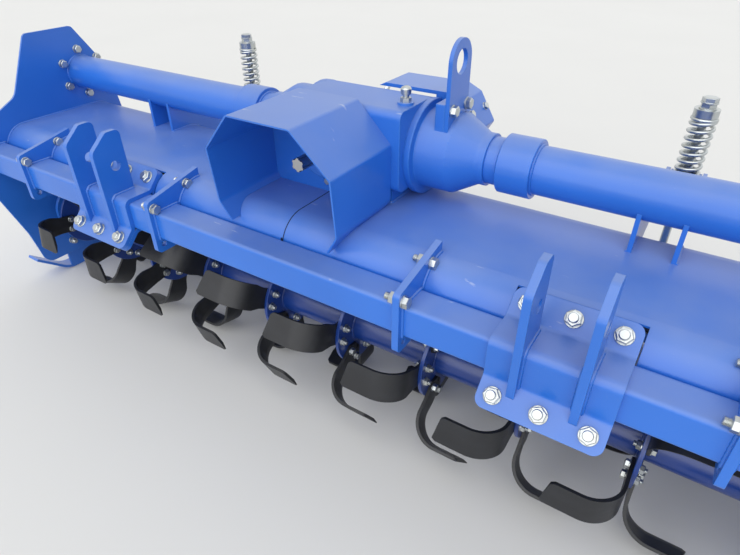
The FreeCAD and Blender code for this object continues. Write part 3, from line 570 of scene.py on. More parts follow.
def copies(name: str, pattern: Piece, places: Iterable[Matrix]) -> Piece:
    """Copy a pattern to each place and join the copies.

    Args:
        name: The new piece's name.
        pattern: The piece to copy, removed afterwards.
        places: One matrix for each copy.

    Returns:
        The joined copies, with their places in the mesh.
    """
    made = []
    for place in places:
        one = pattern.copy()
        one.data = pattern.data.copy()
        one.data.transform(place)
        bpy.context.collection.objects.link(one)
        made.append(one)
    bpy.data.objects.remove(pattern)
    return joined(name, made)


def dress(piece: Piece, coat: Coat, body: str = "frame") -> None:
    """Give a finished piece its finish and its body.

    Args:
        piece: The piece, in place.
        coat: Its finish.
        body: The body it rides on.
    """
    coat.cover(piece)
    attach(piece, body)
    LOG.info("piece %s on %s", piece.name, body)


def from_curves(
    name: str,
    runs: Iterable[Sequence[tuple[float, ...]]],
    degrees: float,
    closed: bool = False,
    **settings: object,
) -> Piece:
    """Thicken curves into a mesh.

    Args:
        name: The piece's name.
        runs: Each curve's points in metres, with a share of the thickness.
        degrees: Angle below which faces shade smooth.
        closed: Whether each curve's end joins its start.
        settings: The curves' settings.

    Returns:
        The piece.
    """
    curve = bpy.data.curves.new(name, "CURVE")
    for key, value in settings.items():
        setattr(curve, key, value)
    for points in runs:
        spline = curve.splines.new("POLY")
        spline.points.add(len(points) - 1)
        spline.use_cyclic_u = closed
        for point, (*place, share) in zip(spline.points, points):
            point.co = (*place, 1.0)
            point.radius = share
    piece = bpy.data.objects.new(name, curve)
    bpy.context.collection.objects.link(piece)
    pick(piece)
    bpy.ops.object.convert(target="MESH")
    return smooth(bpy.context.object, degrees)


def slab(name: str, outline: Sequence[Pair], left: float, thickness: float, rounding: float) -> Piece:
    """An upright plate across the machine, with rounded edges.

    Args:
        name: The piece's name.
        outline: Its corners (y, z), anticlockwise seen from the right.
        left: x of its left face.
        thickness: Its thickness.
        rounding: Radius of its edges.

    Returns:
        The plate.
    """
    piece = from_curves(
        name,
        [[(y * MM, z * MM, 0.0, 1.0) for y, z in outline]],
        40.0,
        closed=True,
        dimensions="2D",
        fill_mode="BOTH",
        extrude=(thickness / 2 - rounding) * MM,
        bevel_depth=rounding * MM,
        bevel_resolution=2,
        offset=-rounding * MM,
    )
    upright = Matrix(((0, 0, 1), (1, 0, 0), (0, 1, 0))).to_4x4()
    piece.data.transform(Matrix.Translation(spot(left + thickness / 2, 0, 0)) @ upright)
    return piece


def bead(
    name: str, runs: Iterable[Sequence[Vector]], radius: float, step: float = 5.5, dip: float = 0.82
) -> Piece:
    """Weld beads along runs of points.

    Args:
        name: The piece's name.
        runs: The corners of each run, in metres.
        radius: The bead's radius.
        step: Length of half a ripple.
        dip: Share of the radius between two ripples.

    Returns:
        The beads as one mesh.
    """
    rippled = []
    for corners in runs:
        points = []
        for start, end in zip(corners, corners[1:]):
            count = max(2, int((end - start).length / (step * MM)))
            points += [start.lerp(end, i / count) for i in range(count)]
        points.append(corners[-1])
        rippled.append([(*point, 1.0 if i % 2 else dip) for i, point in enumerate(points)])
    return from_curves(name, rippled, 60.0, bevel_depth=radius * MM, bevel_resolution=1, **WIRE)


def arc(middle: Pair, radius: float, start: float, end: float, count: int) -> list[Pair]:
    """Points of an arc.

    Args:
        middle: Its middle.
        radius: Its radius.
        start: Angle of its first point, in degrees.
        end: Angle of its last point.
        count: How many steps.

    Returns:
        The points.
    """
    angles = [math.radians(start + (end - start) * i / count) for i in range(count + 1)]
    return [(middle[0] + radius * math.cos(a), middle[1] + radius * math.sin(a)) for a in angles]


def circle_run(centre: Vector, radius: float, count: int = 48) -> list[Vector]:
    """Corners of a weld round a lengthwise tube, the first repeated at the end."""
    circle = arc((0.0, 0.0), radius * MM, 0.0, 360.0, count)
    return [facing(centre, RIGHT) @ Vector((x, y, 0)) for x, y in circle]


def spaced(line: Sequence[Pair], count: int) -> list[Pair]:
    """Evenly spaced points along a closed line.

    Args:
        line: The line's corners.
        count: How many points.

    Returns:
        The points, the first on the first corner.
    """
    closed = [Vector(p) for p in (*line, line[0])]
    step = sum((b - a).length for a, b in zip(closed, closed[1:])) / count
    found, walked = [], 0.0
    for start, end in zip(closed, closed[1:]):
        length = (end - start).length
        while len(found) < count and len(found) * step <= walked + length:
            found.append(tuple(start.lerp(end, (len(found) * step - walked) / length)))
        walked += length
    return found


@dataclass(frozen=True)
class Bolt:
    """A hexagon bolt's sizes, and its profiles as shares of height and radius."""

    thread: float
    flats: float
    head: float
    washer: float
    washer_thickness: float
    tail: float
    hexagon_profile: tuple[Pair, ...] = ((0.0, 1.0), (0.88, 1.0), (1.0, 0.88))
    crown_profile: tuple[Pair, ...] = ((0.9, 0.47), (1.03, 0.42))
    washer_profile: tuple[Pair, ...] = ((0.0, 1.0), (0.75, 1.0), (1.0, 0.95))
    thread_profile: tuple[Pair, ...] = ((0.35, 0.5), (0.8, 0.44))
    thread_point: float = 0.42
    thread_pitch: float = 2.0

    def hexagon(self) -> list[Piece]:
        """Hexagon with chamfered corners, its crown and its washer.

        Returns:
            The three parts, with their foot at z = 0.
        """
        foot, corner = self.washer_thickness, self.flats / math.sqrt(3)
        shapes = (
            (6, self.hexagon_profile, foot, self.head, corner),
            (24, self.crown_profile, foot, self.head, self.flats),
            (28, self.washer_profile, 0.0, self.washer_thickness, self.washer),
        )
        return [
            turned("part", sides, [(low + share * height, radius * width) for share, width in profile])
            for sides, profile, low, height, radius in shapes
        ]

    def head_pattern(self) -> Piece:
        """Head and washer."""
        return smooth(joined("head", self.hexagon()))

    def nut_pattern(self) -> Piece:
        """Nut and washer with the bolt's threaded end.

        Returns:
            The piece, its foot at z = 0.
        """
        start = self.washer_thickness + self.head
        turns = max(3, int(self.tail / self.thread_pitch))
        rings = [(start, self.thread / 2)]
        for i in range(turns):
            for share, width in self.thread_profile:
                rings.append((start + self.tail * (i + share) / turns, self.thread * width))
        rings.append((start + self.tail, self.thread * self.thread_point))
        return smooth(joined("nut", [*self.hexagon(), turned("end", 16, rings)]))


M22 = Bolt(22, 34, 11, 21, 3, 1)
M20 = Bolt(20, 29, 11.2, 17.8, 3, 6)
M16 = Bolt(16, 24, 11.5, 14.5, 2.8, 12)
M12 = Bolt(12, 18, 8.5, 11.8, 2.4, 6)
M10 = Bolt(10, 16, 6.5, 10, 2, 5)


# Sub-assemblies


@dataclass
class SubAssembly:
    """A part of the machine, made in its finishes."""

    finishes: Finishes

    @staticmethod
    def through(x: float, half: float, y: float, z: float, rolls: Pair) -> list[Matrix]:
        """Where a crosswise bolt's head and nut sit, right and left of what it goes through."""
        ends = ((half, RIGHT, rolls[0]), (-half, LEFT, rolls[1]))
        return [facing(spot(x + offset, y, z), out, roll) for offset, out, roll in ends]

    def bolted(
        self, name: str, bolt: Bolt, heads: Sequence[Matrix], nuts: Sequence[Matrix] = (), body: str = "frame"
    ) -> None:
        """Set heads and nuts of one size.

        Args:
            name: Start of the pieces' names.
            bolt: The size.
            heads: Where the heads sit.
            nuts: Where the nuts sit.
            body: The body they ride on.
        """
        dress(copies(f"{name}_heads", bolt.head_pattern(), heads), self.finishes.zinc, body)
        if nuts:
            dress(copies(f"{name}_nuts", bolt.nut_pattern(), nuts), self.finishes.zinc, body)


@dataclass(frozen=True)
class HoodLine:
    """The hood's upper face seen from the side."""

    front: float = -152.0
    low: float = 566.0
    deck: float = 610.0
    nose: float = 80.0
    bend: float = 60.0
    bend_before_rear: float = 116.0
    rear: Pair = (338.0, 505.0)
    rear_slope: float = 40.0
    rear_normal: Pair = (0.766, 0.643)
    steps: tuple[int, int] = (24, 12)

    def points(self, start_y: float = -200.0, end_y: float = 400.0, inset: float = 0.0) -> list[Pair]:
        """Points along the hood from front to rear.

        Args:
            start_y: Where to begin.
            end_y: Where to end.
            inset: How far under the upper face.

        Returns:
            The points (y, z) between the two.
        """
        nose_middle = (self.front + self.nose, self.deck - self.nose)
        bend_middle = (self.rear[0] - self.bend_before_rear, self.deck - self.bend)
        line = [(self.front + inset, self.low)]
        line += arc(nose_middle, self.nose - inset, 180, 90, self.steps[0])
        line += arc(bend_middle, self.bend - inset, 90, self.rear_slope, self.steps[1])
        line.append(tuple(at - inset * share for at, share in zip(self.rear, self.rear_normal)))
        first = [self.at(line, start_y)] * (start_y > self.front)
        last = [self.at(line, end_y)] * (end_y < self.rear[0])
        return first + [(y, z) for y, z in line if start_y < y < end_y] + last

    @staticmethod
    def at(line: Sequence[Pair], y: float) -> Pair:
        """The point of a line at y.

        Args:
            line: The line's corners, from front to rear.
            y: Where.

        Returns:
            The point, or the line's end where it doesn't reach y.
        """
        for (y0, z0), (y1, z1) in zip(line, line[1:]):
            if y0 <= y <= y1 and y1 > y0:
                return y, z0 + (z1 - z0) * (y - y0) / (y1 - y0)
        return line[-1]

    def run(self, x: float, start_y: float = -200.0, end_y: float = 400.0) -> list[Vector]:
        """A weld's corners along the hood at x."""
        return [spot(x, y, z) for y, z in self.points(start_y, end_y)]


@dataclass
class FrontBeam(SubAssembly):
    """The square beam with its flange plates."""

    hood: HoodLine = HoodLine()
    front: float = -232.0
    rear: float = -152.0
    bottom: float = 484.0
    top: float = 564.0
    flange_x: tuple[float, ...] = (-1000.0, -384.0, 384.0, 1000.0)
    flange_half: float = 8.0
    flange_rear: float = -62.0
    bolt_places: tuple[Pair, ...] = ((-230.0, 577.0), (-112.0, 606.0))
    weld: Pair = (5.2, 6.0)

    def section(self, x: float) -> list[Vector]:
        """The beam's outline at x, closed."""
        y, z = (self.front, self.rear), (self.bottom, self.top)
        return [spot(x, y[i], z[k]) for i, k in ((0, 0), (0, 1), (1, 1), (1, 0), (0, 0))]

    def build(self) -> None:
        """Bolt the flange plates and weld the beam's ends."""
        bolts, runs = [], []
        for x in self.flange_x:
            for i, (y, z) in enumerate(self.bolt_places):
                rolls = (20 * i + 0.02 * x, 50 * i + 0.03 * x)
                bolts.append(self.through(x, self.flange_half, y, z, rolls))
            for side in SIDES:
                face = x + side * self.flange_half
                runs += [self.section(face), self.hood.run(face, end_y=self.flange_rear)]
        self.bolted("beam_flange", M16, *zip(*bolts))
        runs += [self.section(-PLATE_INSIDE), self.section(PLATE_INSIDE)]
        dress(bead("beam_welds", runs, *self.weld), self.finishes.paint)


@dataclass
class HitchClamps(SubAssembly):
    """The two brackets that are clamped round the beam."""

    beam: FrontBeam
    middles: Pair = (704.0, -604.0)
    bolt_x: tuple[float, ...] = (-90.0, 0.0, 90.0)
    plate: float = 12.0
    flange_bolt: float = 27.0
    ear_offset: float = 59.0
    ear_half: float = 8.0
    ear_corner: float = 10.0
    ear_foot: float = 2.0
    ear_rear: float = -170.0
    weld: float = 5.0

    def build(self) -> None:
        """Bolt the clamps and weld the ears."""
        beam, normal = self.beam, Vector((0, -1, 1)).normalized()
        low = (beam.front - self.flange_bolt, beam.bottom - self.flange_bolt)
        high = (beam.rear + self.flange_bolt, beam.top + self.flange_bolt)
        front, top = beam.front - self.plate, beam.top + self.plate
        weld = ((front, beam.bottom + self.ear_foot), (front, top - self.ear_corner))
        weld += ((front + self.ear_corner, top), (self.ear_rear, top))
        nuts, heads, runs = [], [], []
        for middle in self.middles:
            for y, z in (low, high):
                for i, dx in enumerate(self.bolt_x):
                    place, face = spot(middle + dx, y, z), normal * self.plate * MM
                    nuts.append(facing(place + face, normal, 17 * i + z))
                    heads.append(facing(place - face, -normal, 9 * i))
            for offset in (-self.ear_offset, self.ear_offset):
                for x in (middle + offset - self.ear_half, middle + offset + self.ear_half):
                    runs.append([spot(x, y, z) for y, z in weld])
        self.bolted("clamp", M20, heads, nuts)
        dress(bead("ear_welds", runs, self.weld), self.finishes.paint)


@dataclass
class Deck(SubAssembly):
    """The hood's seam and what is welded on it."""

    hood: HoodLine = HoodLine()
    foot_x: Pair = (-80.0, 176.0)
    foot_y: Pair = (82.0, 238.0)
    arm_x: Pair = (733.0, 833.0)
    arm_y: Pair = (150.0, 300.0)
    weld: float = 4.2
    seam_half: float = 1.2
    seam_depth: float = 2.5
    seam_top: float = -0.35
    seam_rear: float = 248.0
    seam_rounding: float = 0.05

    def build(self) -> None:
        """Weld the hood to its neighbours and fill its seam with shade."""
        (x0, x1), (y0, y1) = self.foot_x, self.foot_y
        foot = ((x0, y0), (x1, y0), (x1, y1), (x0, y1), (x0, y0))
        runs = [[spot(x, y, self.hood.deck) for x, y in foot]]
        for side in SIDES:
            runs.append(self.hood.run(side * PLATE_INSIDE))
            runs += [self.hood.run(side * x, *self.arm_y) for x in self.arm_x]
        dress(bead("deck_welds", runs, self.weld), self.finishes.paint)
        under = self.hood.points(end_y=self.seam_rear, inset=self.seam_depth)
        over = self.hood.points(end_y=self.seam_rear, inset=self.seam_top)
        strip = slab("hood_seam", under + over[::-1], -self.seam_half, 2 * self.seam_half, self.seam_rounding)
        dress(strip, self.finishes.seam)


@dataclass
class Gearbox(SubAssembly):
    """The gear casting with its guard, lug and axle tubes."""

    tube: float = 57.0
    casting_side: Pair = (206.0, 110.0)
    barrel: tuple[Pair, ...] = (
        (0.0, 120.0), (14.5, 120.0), (16.0, 118.5), (16.0, 103.0), (17.2, 100.2),
        (20.0, 99.0), (94.0, 99.0), (98.0, 98.2), (102.0, 96.2), (157.0, 64.8),
        (160.0, 63.4), (164.0, 63.0), (179.0, 63.0), (180.0, 62.0),
    )
    skin: float = 0.25
    collar: Triple = (33.0, 113.0, 70.0)
    collar_edge: float = 1.5
    weld_x: tuple[float, ...] = (-1262.0, -403.0, -323.0, 419.0, 499.0, 1262.0)
    weld: float = 5.0
    sides: int = 96
    crease: float = 30.0
    front_plate: Pair = (52.0, 726.0)
    front_circle: float = 84.0
    front_bolts: int = 6
    lug_face: float = 295.0
    lug_bolts: tuple[Pair, ...] = ((148.0, 847.0), (224.0, 847.0))
    guard_x: Pair = (148.0, 147.0)
    guard_bolts: tuple[Pair, ...] = ((262.0, 808.0), (343.0, 808.0))
    guard_lean: Pair = (0.85, 0.527)
    breather_place: Triple = (181.0, 131.0, 856.0)
    oil_plugs: tuple[Triple, ...] = ((-70.0, 300.0, 735.0), (-70.0, 300.0, 668.0))

    def build(self) -> None:
        """Bolt the front plate, the lug and the guard, weld the tubes and set the breather."""
        plate_y, plate_z = self.front_plate
        circle = arc((0.0, plate_z), self.front_circle, 30, 390, self.front_bolts)[:-1]
        places = [facing(spot(x, plate_y, z), FRONT, 13 * i) for i, (x, z) in enumerate(circle)]
        self.bolted("front_plate", M12, places)
        self.bolted("lug", M16, [facing(spot(self.lug_face, y, z), RIGHT, 12 + y) for y, z in self.lug_bolts])
        middle, half = self.guard_x
        guard = []
        for side in SIDES:
            out = Vector((side * self.guard_lean[0], 0, self.guard_lean[1])).normalized()
            guard += [facing(spot(middle + side * half, y, z), out, y) for y, z in self.guard_bolts]
        self.bolted("guard", M10, guard)
        runs = [circle_run(spot(x, SHAFT_Y, SHAFT_Z), self.tube) for x in self.weld_x]
        dress(bead("tube_welds", runs, self.weld), self.finishes.paint)
        self.barrels()
        self.fittings()

    def barrels(self) -> None:
        """Skin the casting's trumpets and turn the axle tubes with their collars."""
        low, high, thick = self.collar
        length, edge = self.barrel[-1][0], self.collar_edge
        skin_rings = [(x, radius + self.skin) for x, radius in self.barrel]
        collar_rings = ((0.0, self.tube), (low, self.tube), (low, thick - edge), (low + edge, thick))
        collar_rings += ((high - edge, thick), (high, thick - edge), (high, self.tube))
        for (side, name), start in zip(SIDES.items(), self.casting_side):
            out = Vector((side, 0, 0))
            skin = turned(f"trumpet_{name}", self.sides, skin_rings)
            skin.data.transform(facing(spot(side * (start + self.skin), SHAFT_Y, SHAFT_Z), out))
            dress(smooth(skin, self.crease), self.finishes.casting)
            rings = (*collar_rings, (PLATE_INSIDE - start - length, self.tube))
            tube = turned(f"tube_{name}", self.sides, rings)
            tube.data.transform(facing(spot(side * (start + length), SHAFT_Y, SHAFT_Z), out))
            dress(smooth(tube, self.crease), self.finishes.paint)
            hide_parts(f"axle_tube_{name}")

    def fittings(self) -> None:
        """Breather on its pad, and the level and drain plugs on the casting's rear."""
        hexagon = turned("breather_hexagon", 6, ((0, 13.5), (10, 13.5), (11, 11.8)))
        cap = turned("breather_cap", 24, ((10, 8), (17, 8), (18, 12.5), (30, 13.2), (34, 10.5), (36, 6)))
        breather = smooth(joined("breather", [hexagon, cap]))
        breather.data.transform(facing(spot(*self.breather_place), UP))
        dress(breather, self.finishes.zinc)
        collar = turned("collar", 24, ((0, 17), (3, 17)))
        plug = smooth(joined("plug", [collar, turned("hexagon", 6, ((3, 13), (12, 13), (13, 11.5)))]))
        places = [facing(spot(x, y, z), REAR, x) for x, y, z in self.oil_plugs]
        dress(copies("oil_plugs", plug, places), self.finishes.zinc)


@dataclass(frozen=True)
class BladeForm:
    """One right-bent blade, its bolts at the origin."""

    inside: float = 5.0
    thickness: float = 8.0
    ground_edge: float = 2.5
    ground_width: float = 22.0
    ground_early: float = 0.8
    root_half: float = 31.0
    half: float = 38.0
    reach: float = 150.0
    bend: float = 72.0
    root: float = 26.0
    chamfer: float = 18.0
    neck: float = 44.0
    full: float = 82.0
    slant: float = 14.0
    slant_run: float = 40.0
    end_chamfer: Pair = (9.0, 7.0)
    bolt_radius: float = 88.0
    tip: float = 245.0
    lean: float = 16.0
    bend_steps: int = 12

    @property
    def height(self) -> float:
        """The bent end's height over the bolts."""
        lean = math.radians(self.lean)
        along = math.sqrt(self.tip**2 - (self.half * math.cos(lean)) ** 2) - self.half * math.sin(lean)
        return (along - self.bolt_radius) / math.cos(lean)

    @property
    def straight(self) -> float:
        """Length of the shank, from the root to the bend."""
        return self.height - self.bend + self.root

    @property
    def quarter(self) -> float:
        """Length of the bend along the outer face."""
        return self.bend * math.pi / 2

    def place(self, run: float, across: float, depth: float) -> Vector:
        """A point of the strap.

        Args:
            run: Distance along the outer face from the root.
            across: Distance from the middle, negative towards the leading edge.
            depth: Distance under the outer face.

        Returns:
            The point in metres.
        """
        beyond = run - self.straight
        x, z = self.inside + depth, run - self.root
        if beyond > self.quarter:
            x, z = self.inside + self.bend + beyond - self.quarter, self.height - depth
        elif beyond > 0:
            angle, radius = beyond / self.bend, self.bend - depth
            x = self.inside + self.bend - radius * math.cos(angle)
            z = self.height - self.bend + radius * math.sin(angle)
        return Vector((x, across, z)) * MM

    def section(self, run: float, half: float, ground: float, slanted: float = 0.0) -> list[Vector]:
        """One ring of 12 points round the strap.

        Args:
            run: Distance along the strap.
            half: Half its width there.
            ground: 1 where the leading edge is ground thin, 0 where it isn't.
            slanted: How much of the end's slant the ring has.

        Returns:
            The points.
        """
        edge = self.thickness - (self.thickness - self.ground_edge) * ground
        across = (-half, self.ground_width - half, -half / 4, half / 4, half * 0.8, half)
        depths = (edge, *[self.thickness] * 5)
        runs = [run - slanted * self.slant * (y + half) / (2 * half) for y in across]
        outer = [self.place(s, y, 0.0) for s, y in zip(runs, across)]
        inner = [self.place(s, y, d) for s, y, d in zip(runs, across, depths)]
        return outer + inner[::-1]

    def make(self) -> Piece:
        """Forge the blade.

        Returns:
            The blade.
        """
        end = self.straight + self.quarter + self.reach - self.bend
        back, narrow = self.end_chamfer
        rings = [
            self.section(0.0, self.root_half - self.chamfer, 0.0),
            self.section(self.chamfer, self.root_half, 0.0),
            self.section(self.root + self.neck, self.root_half, 0.0),
        ]
        if self.straight > self.root + self.full:
            rings.append(self.section(self.root + self.full, self.half, self.ground_early))
        for i in range(self.bend_steps + 1):
            rings.append(self.section(self.straight + self.quarter * i / self.bend_steps, self.half, 1.0))
        rings.append(self.section(end - self.slant_run, self.half, 1.0, 0.5))
        rings.append(self.section(end - back, self.half, 1.0, 1.0))
        rings.append(self.section(end, self.half - narrow, 1.0, 1.0))
        return lofted("blade", rings)


@dataclass
class Rotor(SubAssembly):
    """The rotor's tube, discs and blades with their fasteners and welds."""

    form: BladeForm = BladeForm()
    discs: int = 10
    pitch: float = 255.0
    disc_radius: float = 118.0
    disc_half: float = 5.0
    disc_edge: float = 1.0
    disc_sides: int = 72
    tube: float = 50.0
    tube_half: float = 1224.0
    tube_sides: int = 64
    weld: float = 4.0
    weld_steps: int = 40
    start: float = -24.0
    stagger: float = 9.0
    left_offset: float = 60.0
    blades_a_side: int = 3
    bolt_spread: float = 19.0
    bolt_rise: float = 4.0

    def disc_places(self) -> list[float]:
        """Each disc's x."""
        return [(i - (self.discs - 1) / 2) * self.pitch for i in range(self.discs)]

    def blade_places(self) -> list[tuple[float, int, float]]:
        """Disc's x, side and turn of every blade; none bend outward at the ends.

        Returns:
            The places.
        """
        places, step = [], 360 / self.blades_a_side
        for i, x in enumerate(self.disc_places()):
            for side in SIDES:
                if 0 <= i + side < self.discs:
                    base = self.start + i * self.stagger + (0 if side > 0 else self.left_offset)
                    places += [(x, side, base + step * k) for k in range(self.blades_a_side)]
        return places

    def blade_matrix(self, x: float, turn: float) -> Matrix:
        """The matrix from a blade's own place to its place on a disc.

        Args:
            x: The disc's x.
            turn: Turn about the rotor's axis, in degrees.

        Returns:
            The matrix, with the blade's lean in it.
        """
        turned_to = Matrix.Translation(spot(x, 0, ROTOR_Z)) @ Matrix.Rotation(math.radians(turn), 4, "X")
        foot = Matrix.Translation((0, 0, self.form.bolt_radius * MM))
        return turned_to @ foot @ Matrix.Rotation(math.radians(-self.form.lean), 4, "X")

    def build(self) -> None:
        """Forge and bolt the blades, then make the tube and discs and their welds."""
        heads, nuts, blades = [], [], []
        for x, side, turn in self.blade_places():
            foot, out = self.blade_matrix(x, turn), Vector((side, 0, 0))
            blades.append(foot @ Matrix.Diagonal((side, 1, 1, 1)))
            for along in (-self.bolt_spread, self.bolt_spread):
                place = foot @ (Vector((0, along, self.bolt_rise)) * MM)
                heads.append(facing(place + out * (self.disc_half + self.form.thickness) * MM, out, turn))
                nuts.append(facing(place - out * self.disc_half * MM, -out, turn + 11))
        piece = smooth(outward(copies("rotor_blades", self.form.make(), blades)), 40.0)
        dress(piece, self.finishes.blade, "rotor")
        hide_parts("blade_rotor")
        self.tube_and_discs()
        self.bolted("blade", M12, heads, nuts, "rotor")
        faces = [x + side * self.disc_half for x in self.disc_places() for side in SIDES]
        runs = [circle_run(spot(x, 0, ROTOR_Z), self.tube, self.weld_steps) for x in faces]
        # The disc welds take the rotor's darkened enamel: painted shade under the hood.
        dress(bead("disc_welds", runs, self.weld), self.finishes.rotor, "rotor")

    def tube_and_discs(self) -> None:
        """Turn the tube and the blade discs."""
        half, radius, edge = self.disc_half, self.disc_radius, self.disc_edge
        rings = ((-half, radius - edge), (edge - half, radius), (half - edge, radius), (half, radius - edge))
        places = [facing(spot(x, 0, ROTOR_Z), RIGHT) for x in self.disc_places()]
        discs = copies("discs", turned("disc", self.disc_sides, rings), places)
        ends = ((-self.tube_half, self.tube), (self.tube_half, self.tube))
        tube = turned("tube", self.tube_sides, ends)
        tube.data.transform(facing(spot(0, 0, ROTOR_Z), RIGHT))
        # Tube and discs in the rotor's darkened enamel: painted shade under the hood, with painted highlight
        # on the rims.
        dress(smooth(joined("tube_and_discs", [discs, tube])), self.finishes.rotor, "rotor")


@dataclass
class SideEnds(SubAssembly):
    """The side drive's cover, the bearing hub's fittings and the side plates' bolts."""

    skid_face: float = 1280.0
    skid_bolts: tuple[float, ...] = (-50.0, 60.0, 170.0)
    skid_bolt_z: float = 118.0
    hub_face: float = 1286.0
    hub_bolt: float = 59.0
    nipple: Triple = (-1314.0, 0.0, 319.0)
    case_face: float = 1322.0
    cover_thickness: float = 11.0
    cover_rounding: float = 1.8
    upper_radius: float = 122.0
    lower_radius: float = 106.0
    end_steps: int = 40
    bolt_inset: float = 12.0
    bolts: int = 18
    plugs: tuple[Pair, ...] = ((168.0, 640.0), (50.0, 385.0))
    tube_circle: float = 79.0
    tube_bolts: int = 6
    plate_outside: float = 1270.0

    def build(self) -> None:
        """Bolt the skids, the bearing and the cover."""
        heads, nuts = [], []
        for side in SIDES:
            out = Vector((side, 0, 0))
            for i, y in enumerate(self.skid_bolts):
                heads.append(facing(spot(side * self.skid_face, y, self.skid_bolt_z), out, 25 * i))
                nuts.append(facing(spot(side * PLATE_INSIDE, y, self.skid_bolt_z), -out, 15 * i))
        self.bolted("skid", M16, heads, nuts)
        square = [(y * self.hub_bolt, ROTOR_Z + z * self.hub_bolt) for y in (-1, 1) for z in (-1, 1)]
        self.bolted("hub", M16, [facing(spot(-self.hub_face, y, z), LEFT, y + z) for y, z in square])
        rings = ((-2, 5), (6, 5), (7, 3.5), (12, 3.5), (14, 4.5), (17, 3))
        nipple = smooth(turned("grease_nipple", 12, rings))
        nipple.data.transform(facing(spot(*self.nipple), UP))
        dress(nipple, self.finishes.zinc)
        self.cover()
        self.tube_ends()

    def cover_line(self, inset: float) -> list[Pair]:
        """The cover's outline.

        Args:
            inset: How far it is drawn in.

        Returns:
            The corners (y, z), anticlockwise seen from the right.
        """
        rise, run = SHAFT_Z - ROTOR_Z, SHAFT_Y
        big, small = self.upper_radius - inset, self.lower_radius - inset
        heading = math.degrees(math.atan2(rise, run))
        lean = math.degrees(math.asin((big - small) / math.hypot(run, rise)))
        start, end = heading - 90 - lean, heading + 90 + lean
        upper = arc((SHAFT_Y, SHAFT_Z), big, start, end, self.end_steps)
        return upper + arc((0.0, ROTOR_Z), small, end, start + 360, self.end_steps)

    def cover(self) -> None:
        """Lay the side drive's cover and set its bolts and plugs."""
        outline, thickness = self.cover_line(0.0), self.cover_thickness
        plate = slab("side_drive_cover", outline, self.case_face, thickness, self.cover_rounding)
        dress(plate, self.finishes.casting)
        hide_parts("drive_cover")
        face, line = self.case_face + thickness, spaced(self.cover_line(self.bolt_inset), self.bolts)
        self.bolted("drive_cover", M10, [facing(spot(face, y, z), RIGHT, y) for y, z in line])
        pattern = smooth(turned("plug", 6, ((0, 13.8), (7.2, 13.8), (8.2, 12.2))))
        plugs = [facing(spot(face, y, z), RIGHT, y) for y, z in self.plugs]
        dress(copies("drive_plugs", pattern, plugs), self.finishes.zinc)

    def tube_ends(self) -> None:
        """Bolt the axle tubes' ends, with nuts where no case covers them."""
        circle = arc((SHAFT_Y, SHAFT_Z), self.tube_circle, 90, 450, self.tube_bolts)[:-1]
        heads = []
        for side in SIDES:
            inward = Vector((-side, 0, 0))
            heads += [facing(spot(side * PLATE_INSIDE, y, z), inward, y + side) for y, z in circle]
        nuts = [facing(spot(-self.plate_outside, y, z), LEFT, z) for y, z in circle]
        self.bolted("tube_end", M16, heads, nuts)


@dataclass
class SpringRods(SubAssembly):
    """The sprung rods' coils, nuts and pins."""

    x: float = 783.0
    y: float = 599.87
    low: float = 635.0
    high: float = 793.0
    radius: float = 28.0
    wire: float = 5.0
    turns: float = 9.0
    turn_steps: int = 22
    closed_turns: float = 0.8
    nut_z: float = 813.0
    nut_rise: float = 14.2
    guide_z: float = 615.0
    arm_face: float = 50.0
    arm_bolt: Pair = (436.0, 655.0)
    eye_z: float = 239.78
    lug_face: float = 25.0

    def build(self) -> None:
        """Wind the springs and set the nuts, pins and washers."""
        washers, pins, bolts = [], [], []
        for side, name in SIDES.items():
            x, body = side * self.x, f"rod_{name}"
            coil = self.coil(f"coil_spring_{name}", spot(x, self.y, 0))
            dress(coil, self.finishes.spring, body)
            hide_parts(f"spring_{name}")
            nuts = [facing(spot(x, self.y, self.nut_z), UP, 10)]
            nuts.append(facing(spot(x, self.y, self.nut_z + self.nut_rise), UP, 32))
            dress(copies(f"rod_nuts_{name}", M22.head_pattern(), nuts), self.finishes.zinc, body)
            for end in SIDES:
                out = Vector((end, 0, 0))
                washers.append(facing(spot(x + end * self.arm_face, self.y, self.guide_z), out))
            pins.append(self.through(x, self.lug_face, self.y, self.eye_z, (14, 5)))
            bolts.append(self.through(x, self.arm_face, *self.arm_bolt, (8, 20)))
        self.bolted("eye_pin", M16, *zip(*pins), "board")
        self.bolted("arm", M12, *zip(*bolts))
        ring = smooth(turned("pin_washer", 32, ((0, 17.5), (2.4, 17.5), (3, 16.8))))
        dress(copies("pin_washers", ring, washers), self.finishes.zinc)

    def coil(self, name: str, centre: Vector) -> Piece:
        """One coil with closed ends.

        Args:
            name: The piece's name.
            centre: Middle of the spring, in metres.

        Returns:
            The coil as a mesh.
        """
        count = int(self.turns * self.turn_steps)
        low, high = (self.low + self.wire) * MM, (self.high - self.wire) * MM
        closed = self.closed_turns / self.turns
        points = []
        for i, (x, y) in enumerate(arc((centre.x, centre.y), self.radius * MM, 0.0, 360 * self.turns, count)):
            rise = min(max((i / count - closed) / (1 - 2 * closed), 0.0), 1.0)
            points.append((x, y, low + (high - low) * rise, 1.0))
        return from_curves(name, [points], 60.0, bevel_depth=self.wire * MM, bevel_resolution=3, **WIRE)


@dataclass
class LevellingBoard(SubAssembly):
    """Welds of the board's ribs."""

    rib_x: tuple[float, ...] = (-1120.0, -560.0, 0.0, 560.0, 1120.0)
    rib_half: float = 3.0
    weld: float = 3.0
    line: tuple[Pair, ...] = ((373.1, 470.9), (563.2, 227.6), (586.3, 191.0), (657.0, 52.5))

    def build(self) -> None:
        """Weld the ribs to the board."""
        faces = [x + side * self.rib_half for x in self.rib_x for side in SIDES]
        runs = [[spot(x, y, z) for y, z in self.line] for x in faces]
        dress(bead("rib_welds", runs, self.weld), self.finishes.paint, "board")


